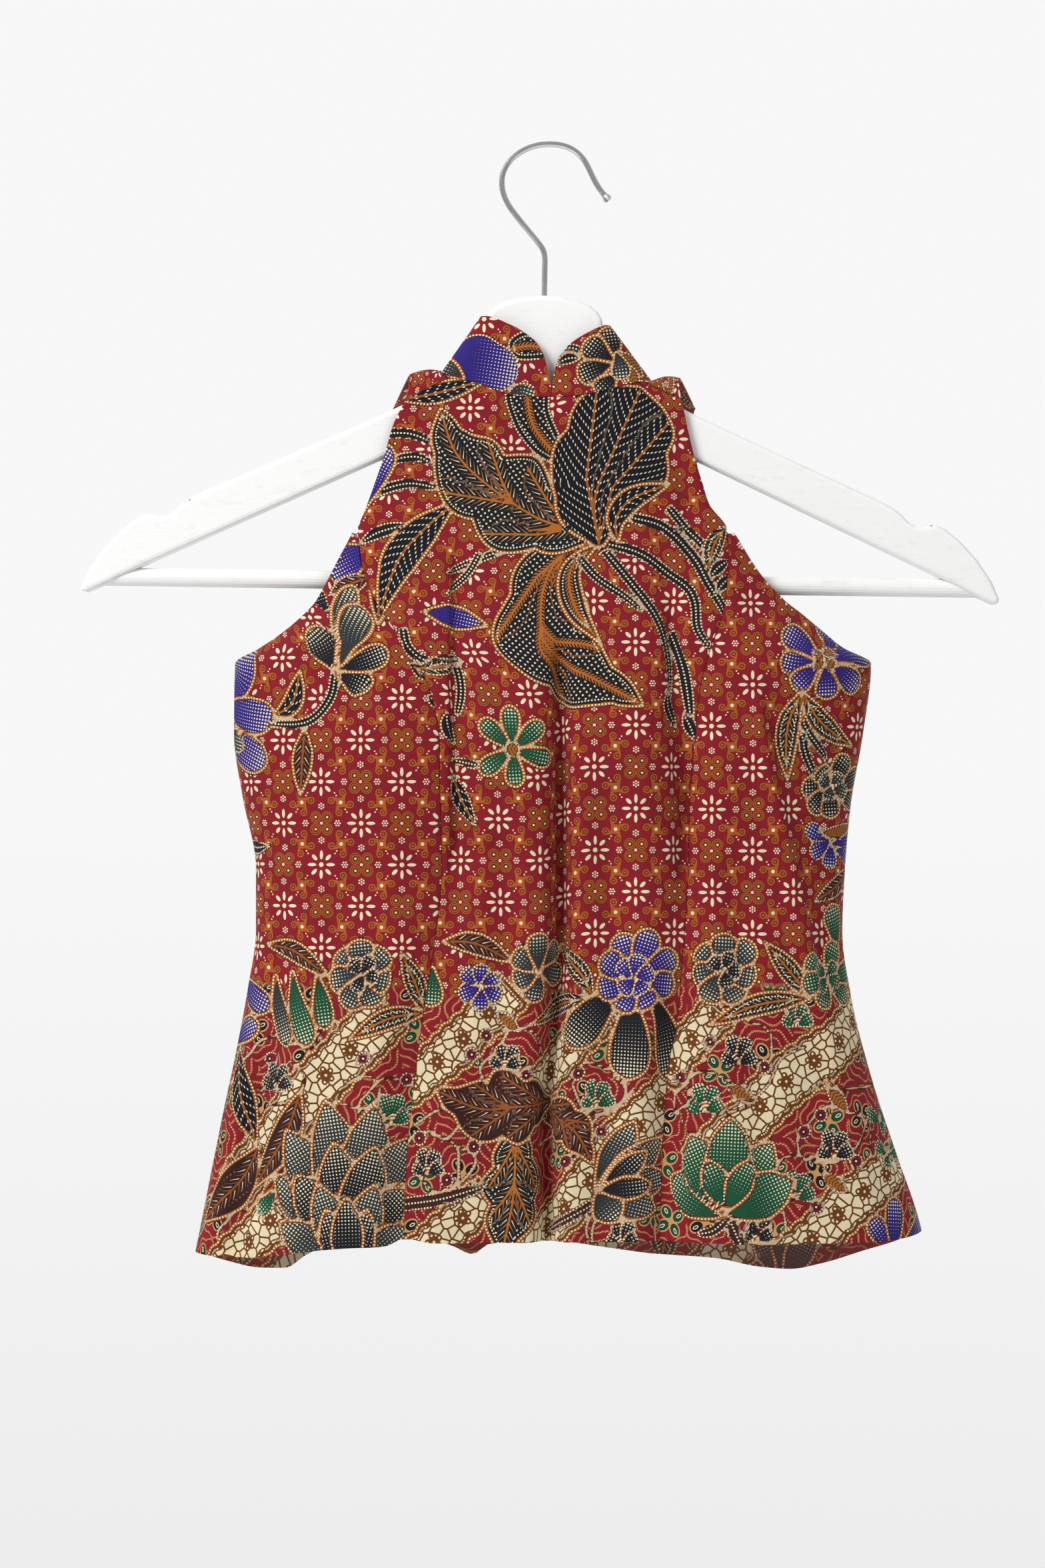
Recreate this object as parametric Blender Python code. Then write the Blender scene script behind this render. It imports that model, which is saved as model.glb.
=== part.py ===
"""A sleeveless halter top with a stand collar, hanging on a wooden hanger.

Sizes are in millimetres until a mesh is made. The front of the top faces -Y, what is left in a view
of the front lies at -X, and the origin is the point under the hook's bend where a rail carries it.
"""

import math
from collections import namedtuple

import bmesh
import bpy
import numpy as np

MM = 0.001

# Cloth and seams
BODY_CLOTH = 1.2
COLLAR_CLOTH = 1.6
SEAM_GAP = 0.3
SHARP_EDGE = math.radians(35)

# Hanger, measured from the hook's seat and from the stem's own axis
HANGER_THICKNESS = 12.0
HANGER_ROUNDING = 3.2
HANGER_CORNER = math.radians(60)
HANGER_TILT = math.radians(0.8)
SEAT_OFF_STEM = 2.26
WIRE_RADIUS = 1.45
WIRE_CLEARANCE = 0.3
STEM_TOP = -52.0
STEM_END = -88.0
BORE_END = -88.6
BAR_RADIUS = 4.4
BAR_HEIGHT = -208.35
BAR_HALF_LENGTH = 211.0
BAR_CLEARANCE = 0.3
BAR_SIDES = 20
SOCKET_SIDES = 32
BORE_SIDES = 16

# Levels of the body's rings
HEM_ROW = -519.0
UNDERARM = -247.0
PANEL_POINT = -182.0
PANEL_TIP = -185.5
TOP_ROW = -121.5
HEM_FADE = 70.0
TOP_FADE = 46.0
ROW_TOLERANCE = 1.0

# How a sheet's bow changes from rounded side seams to open armholes, and where folds fade out
ARMHOLE_FADE = 30.0
SIDE_ROUNDNESS = 2.2
ARMHOLE_ROUNDNESS = 1.2
FOLD_LIMIT = 0.9
UNDERARM_MITRE = (0.6, 0.8)
SLOPE_REACH = 2.0

Edge = namedtuple("Edge", "z x")
Depth = namedtuple("Depth", "z edge centre square")
Point = namedtuple("Point", "x z")
Fold = namedtuple("Fold", "name width path")
Station = namedtuple("Station", "z x depth")
Neck = namedtuple("Neck", "share base top")
Leaf = namedtuple("Leaf", "width_top z_top lean share_points back_base back_top")

# The side seams and, above the underarm, the armhole edges
LEFT_EDGE = [
    Edge(-540, -174), Edge(-528, -171.7), Edge(-497, -165), Edge(-458, -156), Edge(-435, -151),
    Edge(-400, -144.5), Edge(-375, -141), Edge(-345, -141), Edge(-310, -147.5), Edge(-281, -151.5),
    Edge(-247, -151), Edge(-240, -139.5), Edge(-234, -130.3), Edge(-226.6, -120.9),
    Edge(-218, -112.3), Edge(-208, -105.7), Edge(-199, -100.8), Edge(-189, -95.4),
    Edge(-175, -89), Edge(-161, -83.9), Edge(-148, -79.5), Edge(-133, -75.2), Edge(-121.5, -69.4),
]
RIGHT_EDGE = [
    Edge(-540, 182), Edge(-522, 177.5), Edge(-510, 174.5), Edge(-480, 164.5), Edge(-445, 153),
    Edge(-405, 143), Edge(-375, 139), Edge(-345, 140.3), Edge(-315, 143), Edge(-280, 149),
    Edge(-247, 152.8), Edge(-239.5, 139), Edge(-231.7, 129.2), Edge(-224, 119.8),
    Edge(-216.7, 110.3), Edge(-208, 101), Edge(-199.5, 94.6), Edge(-188.7, 88),
    Edge(-179, 81.3), Edge(-171.8, 75.4), Edge(-161, 71.9), Edge(-149, 68.2), Edge(-138, 65.6),
    Edge(-121.5, 62.2),
]

# The two princess seams of the front, from the armholes to the hem
LEFT_SEAM = [
    Edge(-540, -69.5), Edge(-487, -68.3), Edge(-445, -64.6), Edge(-407, -59.4), Edge(-382, -55.4),
    Edge(-343, -51.6), Edge(-304, -52.5), Edge(-283, -52.6), Edge(-269, -54.8), Edge(-252, -60.8),
    Edge(-239, -69), Edge(-228, -76.5), Edge(-218, -83.4), Edge(-207, -88.4), Edge(-195, -90.8),
    Edge(-182, -92.1),
]
RIGHT_SEAM = [
    Edge(-540, 50.2), Edge(-510, 50.8), Edge(-440, 54.4), Edge(-415, 59), Edge(-390, 61.2),
    Edge(-343, 64.3), Edge(-311, 65), Edge(-279, 67.6), Edge(-260, 69.6), Edge(-240, 75),
    Edge(-225, 80.4), Edge(-210, 83.2), Edge(-196, 84.0), Edge(-182, 83.4),
]

# How far the front and the back stand from the hanger's plane, at their edges and in the middle
FRONT_DEPTH = [
    Depth(-540, -3, -50, 5.0), Depth(-519, -3, -49.5, 5.0), Depth(-460, -3, -47, 5.2),
    Depth(-400, -3, -43, 5.0), Depth(-350, -3, -40.5, 4.2), Depth(-320, -3, -43, 3.4),
    Depth(-285, -3, -46, 2.8), Depth(-260, -3, -44, 2.7), Depth(-247, -3, -42, 2.7),
    Depth(-238, -6, -39.5, 2.7), Depth(-226, -9.5, -36, 2.6), Depth(-205, -11.5, -29, 2.5),
    Depth(-180, -11, -22.5, 2.4), Depth(-150, -10.2, -16.8, 2.3), Depth(-121.5, -9.8, -13.6, 2.2),
]
BACK_DEPTH = [
    Depth(-540, -3, 15, 6.0), Depth(-460, -3, 14.5, 6.0), Depth(-350, -3, 12.5, 6.0),
    Depth(-285, -3, 13.5, 5.5), Depth(-247, -3, 13, 5.0), Depth(-238, 2, 12.7, 4.5),
    Depth(-226, 7, 12.4, 4.0), Depth(-205, 9.4, 12, 3.5), Depth(-150, 9.4, 11.4, 3.0),
    Depth(-108, 9.4, 11, 3.0),
]

# Hanging folds: how deep each one's line lies at each level. A negative depth is a ridge
FRONT_FOLDS = [
    Fold("left princess valley", 9.0, [
        Station(-540, -69.5, 6.5), Station(-440, -64, 5.0), Station(-382, -55.4, 3.2),
        Station(-340, -51.6, 2.4), Station(-270, -54.8, 1.6), Station(-225, -78, 0.0)]),
    Fold("left tuck", 7.0, [
        Station(-430, -46, 0.0), Station(-385, -45, 2.0), Station(-330, -43, 3.2),
        Station(-260, -43.5, 3.2), Station(-215, -44.5, 2.0), Station(-172, -47, 0.0)]),
    Fold("middle fold", 5.4, [
        Station(-540, -1.5, 9.5), Station(-460, -2.6, 9.0), Station(-415, 1.5, 8.4),
        Station(-370, 4.4, 7.8), Station(-300, 4.2, 6.4), Station(-262, 4.2, 4.0),
        Station(-232, 4.2, 0.0)]),
    Fold("right princess valley", 8.5, [
        Station(-540, 50.2, 9.0), Station(-440, 54.4, 8.0), Station(-390, 61.2, 5.6),
        Station(-330, 64.4, 4.4), Station(-270, 68, 3.0), Station(-215, 83, 0.0)]),
    Fold("right tuck", 7.0, [
        Station(-350, 60, 0.0), Station(-300, 57.4, 2.4), Station(-255, 56.6, 3.2),
        Station(-205, 54.6, 2.4), Station(-160, 51, 0.0)]),
    Fold("right neck drag", 6.0, [
        Station(-262, 70, 0.0), Station(-222, 67, 2.0), Station(-180, 64.6, 2.2),
        Station(-138, 60, 0.0)]),
    Fold("left hip fold", 8.0, [
        Station(-540, -152, 7.0), Station(-495, -146, 7.0), Station(-440, -136, 5.5),
        Station(-400, -130, 3.4), Station(-355, -124, 0.0)]),
    Fold("left flare ridge", 15.0, [
        Station(-540, -110, -4.5), Station(-440, -104, -3.0), Station(-370, -96, 0.0)]),
    Fold("right crease", 7.0, [
        Station(-540, 158, -1.0), Station(-440, 136, -2.4), Station(-390, 122, -2.6),
        Station(-330, 110, -2.6), Station(-285, 100, -2.4), Station(-225, 98, 0.0)]),
    Fold("right flare ridge", 18.0, [
        Station(-540, 92, -4.5), Station(-440, 92, -3.0), Station(-360, 92, 0.0)]),
    Fold("left bust ridge", 26.0, [
        Station(-345, -80, 0.0), Station(-280, -82, -2.6), Station(-230, -74, 0.0)]),
    Fold("right bust ridge", 24.0, [
        Station(-345, 36, 0.0), Station(-285, 34, -2.6), Station(-225, 30, 0.0)]),
]
BACK_FOLDS = [
    Fold("left lobe", 16.0, [
        Station(-545, -138, -6.5), Station(-480, -132, -4.0), Station(-400, -122, 0.0)]),
    Fold("left wave", 20.0, [
        Station(-545, -86, 3.0), Station(-470, -80, 2.0), Station(-390, -74, 0.0)]),
    Fold("left hem tab", 7.0, [
        Station(-545, -39, -4.0), Station(-490, -38, -2.4), Station(-430, -36, 0.0)]),
    Fold("right wave", 20.0, [
        Station(-545, 60, 3.0), Station(-470, 58, 2.0), Station(-390, 56, 0.0)]),
    Fold("right lobe", 22.0, [
        Station(-545, 112, -6.0), Station(-480, 108, -3.6), Station(-400, 104, 0.0)]),
    Fold("small of the back", 60.0, [
        Station(-440, 0, 0.0), Station(-350, 0, -2.4), Station(-280, 0, 0.0)]),
]

FRONT_HEM = [
    Point(-172, -527), Point(-150, -527.5), Point(-125, -524.5), Point(-100, -521.5),
    Point(-78, -520.6), Point(-69, -517.4), Point(-56, -519), Point(0, -518.6), Point(50, -518.4),
    Point(100, -519.4), Point(140, -519.5), Point(165, -518.8), Point(178, -517),
]
BACK_HEM = [
    Point(-172, -527.5), Point(-155, -533.5), Point(-140, -536.5), Point(-128, -536.8),
    Point(-118, -531), Point(-105, -526), Point(-60, -524), Point(-46, -527.4),
    Point(-38, -530.6), Point(-30, -526), Point(0, -524.5), Point(25, -527.5), Point(50, -531),
    Point(80, -533), Point(100, -536.5), Point(115, -537.5), Point(130, -535), Point(150, -529),
    Point(165, -524), Point(178, -517.5),
]

# The collar: half-widths by level, and the neck seam and top edge by share of the half-width
LEFT_COLLAR = Leaf(33.9, -81.3, 0.703, [
    Neck(0.0, -120.5, -115.0), Neck(0.03, -120.5, -107.6), Neck(0.07, -120.5, -101.4),
    Neck(0.11, -120.4, -97.6), Neck(0.17, -120.3, -94.3), Neck(0.28, -120.0, -90.8),
    Neck(0.42, -117.8, -87.6), Neck(0.57, -114.6, -85.3), Neck(0.74, -112.4, -83.0),
    Neck(0.89, -111.0, -81.6), Neck(0.97, -108.6, -81.3), Neck(1.0, -106.8, -81.3),
], -107.6, -82.4)
RIGHT_COLLAR = Leaf(28.6, -85.8, 0.745, [
    Neck(0.0, -120.5, -115.0), Neck(0.035, -120.5, -108.0), Neck(0.07, -120.4, -103.0),
    Neck(0.15, -120.2, -98.9), Neck(0.24, -119.6, -95.5), Neck(0.34, -118.9, -93.2),
    Neck(0.475, -117.4, -90.8), Neck(0.62, -115.8, -88.8), Neck(0.775, -113.9, -87.0),
    Neck(0.89, -113.0, -86.0), Neck(0.97, -112.2, -85.8), Neck(1.0, -111.6, -86.0),
], -110.4, -84.6)
COLLAR_FRONT_DEPTH = (9.6, 13.5)
COLLAR_BACK_DEPTH = (9.4, 11.0)
COLLAR_LEVELS = (-82.0, -120.0)
COLLAR_SQUARE = 9.0
CENTRE_BACK_BASE = -109.0
CENTRE_BACK_TOP = -84.0
NECK_FRONT_SHARE = 0.89
NECK_BACK_SHARE = 0.86
NECK_ROUNDS = 6

# The shoulder straps, which are part of the back and fold over the arms to the front
STRAP_DEPTH = 9.6
STRAP_CROWN = 1.4
Strap = namedtuple("Strap", "back_x back_z ridge_x ridge_z front_x front_z")
LEFT_STRAP = Strap(-76.3, -125.0, -67.6, -108.6, -69.4, -121.5)
RIGHT_STRAP = Strap(69.5, -124.5, 61.6, -110.4, 62.2, -121.5)

# Half of the wooden shape, from the stem's axis outwards along the top and back below
Corner = namedtuple("Corner", "x z")
HANGER_TOP = [
    Corner(0, -71.4), Corner(8, -71.9), Corner(16.9, -73.8), Corner(22, -75.9), Corner(25.6, -78.8),
    Corner(27.8, -82.4), Corner(28.6, -87.0), Corner(29.4, -93.5), Corner(31.4, -99.6),
    Corner(35.0, -105.0), Corner(40.6, -110.0), Corner(48.2, -114.8), Corner(58.0, -120.2),
    Corner(70, -126.1), Corner(115, -146.4), Corner(161.3, -167.0), Corner(168.0, -170.4),
]
HANGER_NOTCH = [
    Corner(172.4, -173.8), Corner(175.4, -177.0), Corner(178.6, -178.8), Corner(182.0, -179.2),
    Corner(185.4, -178.5), Corner(188.6, -178.2),
]
HANGER_END = [
    Corner(193.0, -180.2), Corner(200.2, -185.8), Corner(208.7, -195.0), Corner(215.2, -204.4),
    Corner(219.2, -213.0), Corner(218.8, -215.2), Corner(216.6, -216.0), Corner(213.0, -214.6),
]
HANGER_BELOW = [
    Corner(193.0, -204.6), Corner(136.4, -178.3), Corner(74.0, -149.3), Corner(46.0, -136.6),
    Corner(28.0, -129.4), Corner(14.0, -125.4), Corner(0, -124.0),
]

# The hook's centreline, from the bent-out tip round the top to the stem
HOOK_ROUTE = [
    Corner(30.3, -25.2), Corner(28.2, -22.8), Corner(25.4, -19.2), Corner(23.0, -15.2),
    Corner(20.7, -10.6), Corner(17.9, -5.7), Corner(13.7, -1.7), Corner(8.2, 0.75),
    Corner(2.2, 1.45), Corner(-4.4, 0.8), Corner(-10.8, -1.6), Corner(-16.2, -5.6),
    Corner(-19.8, -10.6), Corner(-21.1, -16.2), Corner(-20.3, -22.4), Corner(-17.3, -28.6),
    Corner(-12.9, -34.4), Corner(-8.0, -40.2), Corner(-3.6, -45.4), Corner(-1.0, -49.0),
    Corner(0, STEM_TOP - 1.0), Corner(0, STEM_TOP - 9.0), Corner(0, STEM_END),
]
HOOK_TIP_RADIUS = 2.3
HOOK_END_RADIUS = 1.5
HOOK_BEAD_PLACE = 1.2
HOOK_BEAD_SPREAD = 1.3
HOOK_STEPS = 3
HOOK_SIDES = 10

# Grid sizes
ROWS_BELOW_ARM = 22
ROWS_BESIDE_PANEL = 7
ROWS_TO_SHOULDER = 6
STRAP_ROWS = 7
COLLAR_ROWS = 5
FRONT_COLUMNS = (3, 25, 3)
SIDE_COLUMNS = 9
BACK_COLUMNS = (4, 7)
FRONT_NECK_SHARES = (0.15, 0.895)
BACK_NECK_SHARE = 0.4
BACK_EDGE_CROWDING = 0.6
BACK_SPREAD = 40.0
SIDE_SPREAD = 30.0
COLLAR_EXTRA_SHARES = [0.82, 0.94, 0.99]
COLLAR_BACK_SHARES = [0.99, 0.97, 0.94, 0.9, 0.86, 0.74, 0.6, 0.45, 0.3, 0.15, 0.0]

COLOURS = {
    "batik": ((0.36, 0.02, 0.04, 1.0), 0.78, 0.0),
    "white_lacquer": ((0.86, 0.86, 0.85, 1.0), 0.4, 0.0),
    "steel": ((0.62, 0.62, 0.6, 1.0), 0.25, 1.0),
}


def clear_scene():
    for old in list(bpy.data.objects):
        bpy.data.objects.remove(old)


def material(name):
    found = bpy.data.materials.get(name)
    if found:
        return found
    made = bpy.data.materials.new(name)
    made.use_nodes = True
    colour, roughness, metallic = COLOURS[name]
    shader = made.node_tree.nodes["Principled BSDF"]
    shader.inputs["Base Color"].default_value = colour
    shader.inputs["Roughness"].default_value = roughness
    shader.inputs["Metallic"].default_value = metallic
    return made


def curve_through(places, values, at):
    """Values at `at` on a smooth curve through the given ones that doesn't overshoot them."""
    places = np.asarray(places, float)
    values = np.asarray(values, float)
    if places[0] > places[-1]:
        places, values = places[::-1], values[::-1]
    gaps = np.diff(places)
    slopes = np.diff(values) / gaps
    tangents = np.zeros(len(places))
    tangents[0], tangents[-1] = slopes[0], slopes[-1]
    for i in range(1, len(places) - 1):
        if slopes[i - 1] * slopes[i] > 0:
            before = 2 * gaps[i] + gaps[i - 1]
            after = gaps[i] + 2 * gaps[i - 1]
            tangents[i] = (before + after) / (before / slopes[i - 1] + after / slopes[i])
    at = np.clip(np.asarray(at, float), places[0], places[-1])
    i = np.clip(np.searchsorted(places, at) - 1, 0, len(gaps) - 1)
    t = (at - places[i]) / gaps[i]
    rise = values[i] * (1 + 2 * t) * (1 - t) ** 2 + values[i + 1] * t * t * (3 - 2 * t)
    turn = tangents[i] * t * (1 - t) ** 2 - tangents[i + 1] * t * t * (1 - t)
    return rise + turn * gaps[i]


def value_at(table, column, at, by="z"):
    places = [getattr(row, by) for row in table]
    return curve_through(places, [getattr(row, column) for row in table], at)


def smooth_step(value):
    value = np.clip(value, 0.0, 1.0)
    return value * value * (3 - 2 * value)


def fold_depth(folds, x, z):
    """How far all the folds push the cloth at (x, z), positive towards +Y."""
    total = np.zeros_like(x)
    for fold in folds:
        top, bottom = fold.path[-1].z, fold.path[0].z
        level = np.clip(z, bottom, top)
        depth = value_at(fold.path, "depth", level)
        centre = value_at(fold.path, "x", level)
        total += depth * np.exp(-(((x - centre) / fold.width) ** 2))
    return total


def bowed(x, z, depths, folds):
    """The y of a sheet that bows out between its two edges and carries hanging folds."""
    left, right = value_at(LEFT_EDGE, "x", z), value_at(RIGHT_EDGE, "x", z)
    middle = 0.5 * (left + right)
    half = 0.5 * (right - left)
    share = np.clip(np.abs(x - middle) / half, 0.0, 1.0)
    edge, centre = value_at(depths, "edge", z), value_at(depths, "centre", z)
    opened = smooth_step((z - UNDERARM) / ARMHOLE_FADE)
    roundness = SIDE_ROUNDNESS + (ARMHOLE_ROUNDNESS - SIDE_ROUNDNESS) * opened
    bow = (1 - share ** value_at(depths, "square", z)) ** (1 / roundness)
    steady = 1 - smooth_step((share - FOLD_LIMIT) / (1 - FOLD_LIMIT))
    return edge + (centre - edge) * bow + fold_depth(folds, x, z) * steady


def front_y(x, z):
    return bowed(x, z, FRONT_DEPTH, FRONT_FOLDS)


def back_y(x, z):
    return bowed(x, z, BACK_DEPTH, BACK_FOLDS)


def collar_depth(depths, z):
    share = (z - COLLAR_LEVELS[0]) / (COLLAR_LEVELS[1] - COLLAR_LEVELS[0])
    return depths[0] + (depths[1] - depths[0]) * share


def collar_point(leaf, side, share, z, at_front):
    """A point of the collar's cone. `share` runs from 0 at the centre to 1 at the side fold."""
    width = leaf.width_top + (leaf.z_top - z) * leaf.lean
    depth = collar_depth(COLLAR_FRONT_DEPTH, z) if at_front else -collar_depth(COLLAR_BACK_DEPTH, z)
    bow = (1 - share**COLLAR_SQUARE) ** 0.5
    return np.array([side * width * share, -depth * bow, z])


def neck_seam(leaf, side, share, at_front):
    """A point of the seam between the body and the collar."""
    if at_front:
        base = float(value_at(leaf.share_points, "base", share, by="share"))
    else:
        side_base = leaf.share_points[-1].base
        places = [0.0, NECK_BACK_SHARE, 1.0]
        base = float(curve_through(places, [CENTRE_BACK_BASE, leaf.back_base, side_base], share))
    return collar_point(leaf, side, share, base, at_front)


def row_levels():
    """The nominal levels of the body's rows, from the hem to the shoulders."""
    below = np.linspace(HEM_ROW, UNDERARM, ROWS_BELOW_ARM + 1)
    beside = np.linspace(UNDERARM, PANEL_TIP, ROWS_BESIDE_PANEL + 1)[1:]
    above = np.linspace(PANEL_POINT, TOP_ROW, ROWS_TO_SHOULDER + 1)
    return np.concatenate([below, beside, above])


def hem_pull(level):
    return smooth_step((HEM_ROW + HEM_FADE - level) / HEM_FADE)


def top_pull(level):
    return smooth_step((level - TOP_ROW + TOP_FADE) / TOP_FADE)


def halves(outer, loop):
    """Splits a cell along its shorter diagonal, so that both sides of the wall bend alike."""
    a, b, c, d = loop
    if np.linalg.norm(outer[a] - outer[c]) <= np.linalg.norm(outer[b] - outer[d]):
        return (a, b, c), (a, c, d)
    return (a, b, d), (b, c, d)


def wall(name, outer, inner, filled, colour):
    """A closed wall between two grids of points, where `filled` says which cells have cloth."""
    rows, columns = outer.shape[:2]
    mesh = bmesh.new()
    corners = {}

    def corner(layer, row, column):
        key = (layer, row, column)
        if key not in corners:
            grid = inner if layer else outer
            corners[key] = mesh.verts.new(grid[row, column] * MM)
        return corners[key]

    edges = {}
    for row in range(rows - 1):
        for column in range(columns - 1):
            if not filled[row, column]:
                continue
            loop = [(row, column), (row, column + 1), (row + 1, column + 1), (row + 1, column)]
            for three in halves(outer, loop):
                mesh.faces.new([corner(0, *place) for place in three])
                mesh.faces.new([corner(1, *place) for place in reversed(three)])
            for first, second in zip(loop, loop[1:] + loop[:1]):
                if (second, first) in edges:
                    del edges[(second, first)]
                else:
                    edges[(first, second)] = True
    for first, second in edges:
        mesh.faces.new([corner(0, *second), corner(0, *first), corner(1, *first), corner(1, *second)])
    bmesh.ops.recalc_face_normals(mesh, faces=mesh.faces)
    data = bpy.data.meshes.new(name)
    mesh.to_mesh(data)
    mesh.free()
    return add_object(name, data, colour)


def add_object(name, data, colour):
    made = bpy.data.objects.new(name, data)
    bpy.context.scene.collection.objects.link(made)
    data.materials.append(material(colour))
    data.shade_smooth()
    data.set_sharp_from_angle(angle=SHARP_EDGE)
    return made


def inward(outer, towards_back):
    """Unit directions from the cloth's outer points towards its wearer's side."""
    along = np.gradient(outer, axis=1)
    up = np.gradient(outer, axis=0)
    normal = np.cross(along, up)
    normal /= np.linalg.norm(normal, axis=2, keepdims=True)
    return -normal if towards_back else normal


def mitre_side_seam(directions, levels, side):
    """Turns the wall at a side seam straight in from it, so that two panels meet face to face."""
    for row, level in enumerate(levels):
        if level < UNDERARM - ROW_TOLERANCE:
            directions[row, 0] = (-side, 0.0, 0.0)
        elif level < UNDERARM + ROW_TOLERANCE:
            directions[row, 0] = (-side * UNDERARM_MITRE[0], 0.0, -UNDERARM_MITRE[1])


def mitre_princess_seam(directions, grid, column):
    """Gives the wall at a princess seam the direction that both of its panels share."""
    for row, (x, _, z) in enumerate(grid[:, column]):
        if z > PANEL_TIP + ROW_TOLERANCE:
            continue
        near_x = front_y(np.array([x - SLOPE_REACH, x + SLOPE_REACH]), np.array([z, z]))
        near_z = front_y(np.array([x, x]), np.array([z - SLOPE_REACH, z + SLOPE_REACH]))
        slope_x = (near_x[1] - near_x[0]) / (2 * SLOPE_REACH)
        slope_z = (near_z[1] - near_z[0]) / (2 * SLOPE_REACH)
        normal = np.array([-slope_x, 1.0, -slope_z])
        directions[row, column] = normal / np.linalg.norm(normal)


def front_grid(levels, left, right, shares, top_edge):
    """Outer points of the middle front between its two edges, given by level, up to its top row."""
    grid = np.zeros((len(levels), len(shares), 3))
    for row, level in enumerate(levels):
        x = left[row] + (right[row] - left[row]) * shares
        z = level + hem_pull(level) * (value_at(FRONT_HEM, "z", x, by="x") - HEM_ROW)
        y = front_y(x, np.full(len(x), level))
        pull = top_pull(level)
        x = x + pull * (top_edge[:, 0] - (left[-1] + (right[-1] - left[-1]) * shares))
        z = z + pull * (top_edge[:, 2] - TOP_ROW)
        y = y + pull**2 * (top_edge[:, 1] - front_y(top_edge[:, 0], np.full(len(x), TOP_ROW)))
        grid[row] = np.column_stack([x, y, z])
    return grid


def neck_seam_at(leaf, side, x):
    """The point of the front neck seam with the given x, found by a few rounds of correction."""
    level = leaf.share_points[0].base
    for _ in range(NECK_ROUNDS):
        width = leaf.width_top + (leaf.z_top - level) * leaf.lean
        point = neck_seam(leaf, side, min(abs(x) / width, NECK_FRONT_SHARE), True)
        level = point[2]
    return np.array([x, point[1], level])


def front_top_edge(shares):
    """The top row of the middle front: shoulder seam, neck seam, shoulder seam."""
    left_tip = np.array([LEFT_STRAP.front_x, -STRAP_DEPTH, LEFT_STRAP.front_z])
    right_tip = np.array([RIGHT_STRAP.front_x, -STRAP_DEPTH, RIGHT_STRAP.front_z])
    left_point = neck_seam(LEFT_COLLAR, -1, NECK_FRONT_SHARE, True)
    right_point = neck_seam(RIGHT_COLLAR, 1, NECK_FRONT_SHARE, True)
    left_neck, right_neck = FRONT_NECK_SHARES
    row = []
    for share in shares:
        if share <= left_neck:
            point = left_tip + (left_point - left_tip) * share / left_neck
        elif share >= right_neck:
            along = (share - right_neck) / (1 - right_neck)
            point = right_point + (right_tip - right_point) * along
        else:
            along = (share - left_neck) / (right_neck - left_neck)
            x = left_point[0] + (right_point[0] - left_point[0]) * along
            leaf, side = (LEFT_COLLAR, -1) if x < 0 else (RIGHT_COLLAR, 1)
            point = neck_seam_at(leaf, side, x)
        row.append(point + np.array([0.0, 0.0, -SEAM_GAP]))
    return np.array(row)


def build_middle_front():
    levels = row_levels()
    left = np.where(levels < PANEL_POINT, value_at(LEFT_SEAM, "x", levels) + SEAM_GAP / 2,
                    value_at(LEFT_EDGE, "x", levels))
    right = np.where(levels < PANEL_POINT, value_at(RIGHT_SEAM, "x", levels) - SEAM_GAP / 2,
                     value_at(RIGHT_EDGE, "x", levels))
    left_neck, right_neck = FRONT_NECK_SHARES
    first, second, third = FRONT_COLUMNS
    shares = np.concatenate([
        np.linspace(0, left_neck, first + 1),
        np.linspace(left_neck, right_neck, second + 1)[1:],
        np.linspace(right_neck, 1, third + 1)[1:],
    ])
    outer = front_grid(levels, left, right, shares, front_top_edge(shares))
    directions = inward(outer, True)
    directions[-1] = (0.0, 1.0, 0.0)
    mitre_princess_seam(directions, outer, 0)
    mitre_princess_seam(directions, outer, -1)
    inner = outer + BODY_CLOTH * directions
    wall("front_middle", outer, inner, np.ones(outer.shape[:2], bool), "batik")


def build_side_front(name, side, edge_table, seam_table):
    levels = row_levels()
    levels = levels[levels < PANEL_POINT]
    edge = value_at(edge_table, "x", levels)
    seam = value_at(seam_table, "x", levels) + side * SEAM_GAP / 2
    steps = np.linspace(0, 1, SIDE_COLUMNS + 1)
    even = smooth_step((levels - UNDERARM) / SIDE_SPREAD)
    curved = 1 - np.cos(steps * math.pi / 2)
    grid = np.zeros((len(levels), len(steps), 3))
    for row, level in enumerate(levels):
        shares = curved * (1 - even[row]) + steps * even[row]
        x = edge[row] + (seam[row] - edge[row]) * shares
        z = level + hem_pull(level) * (value_at(FRONT_HEM, "z", x, by="x") - HEM_ROW)
        grid[row] = np.column_stack([x, front_y(x, np.full(len(x), level)), z])
    grid[:, 0, 1] -= SEAM_GAP / 2
    directions = inward(grid, side < 0)
    mitre_side_seam(directions, levels, side)
    mitre_princess_seam(directions, grid, -1)
    inner = grid + BODY_CLOTH * directions
    wall(name, grid, inner, np.ones(grid.shape[:2], bool), "batik")


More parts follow.
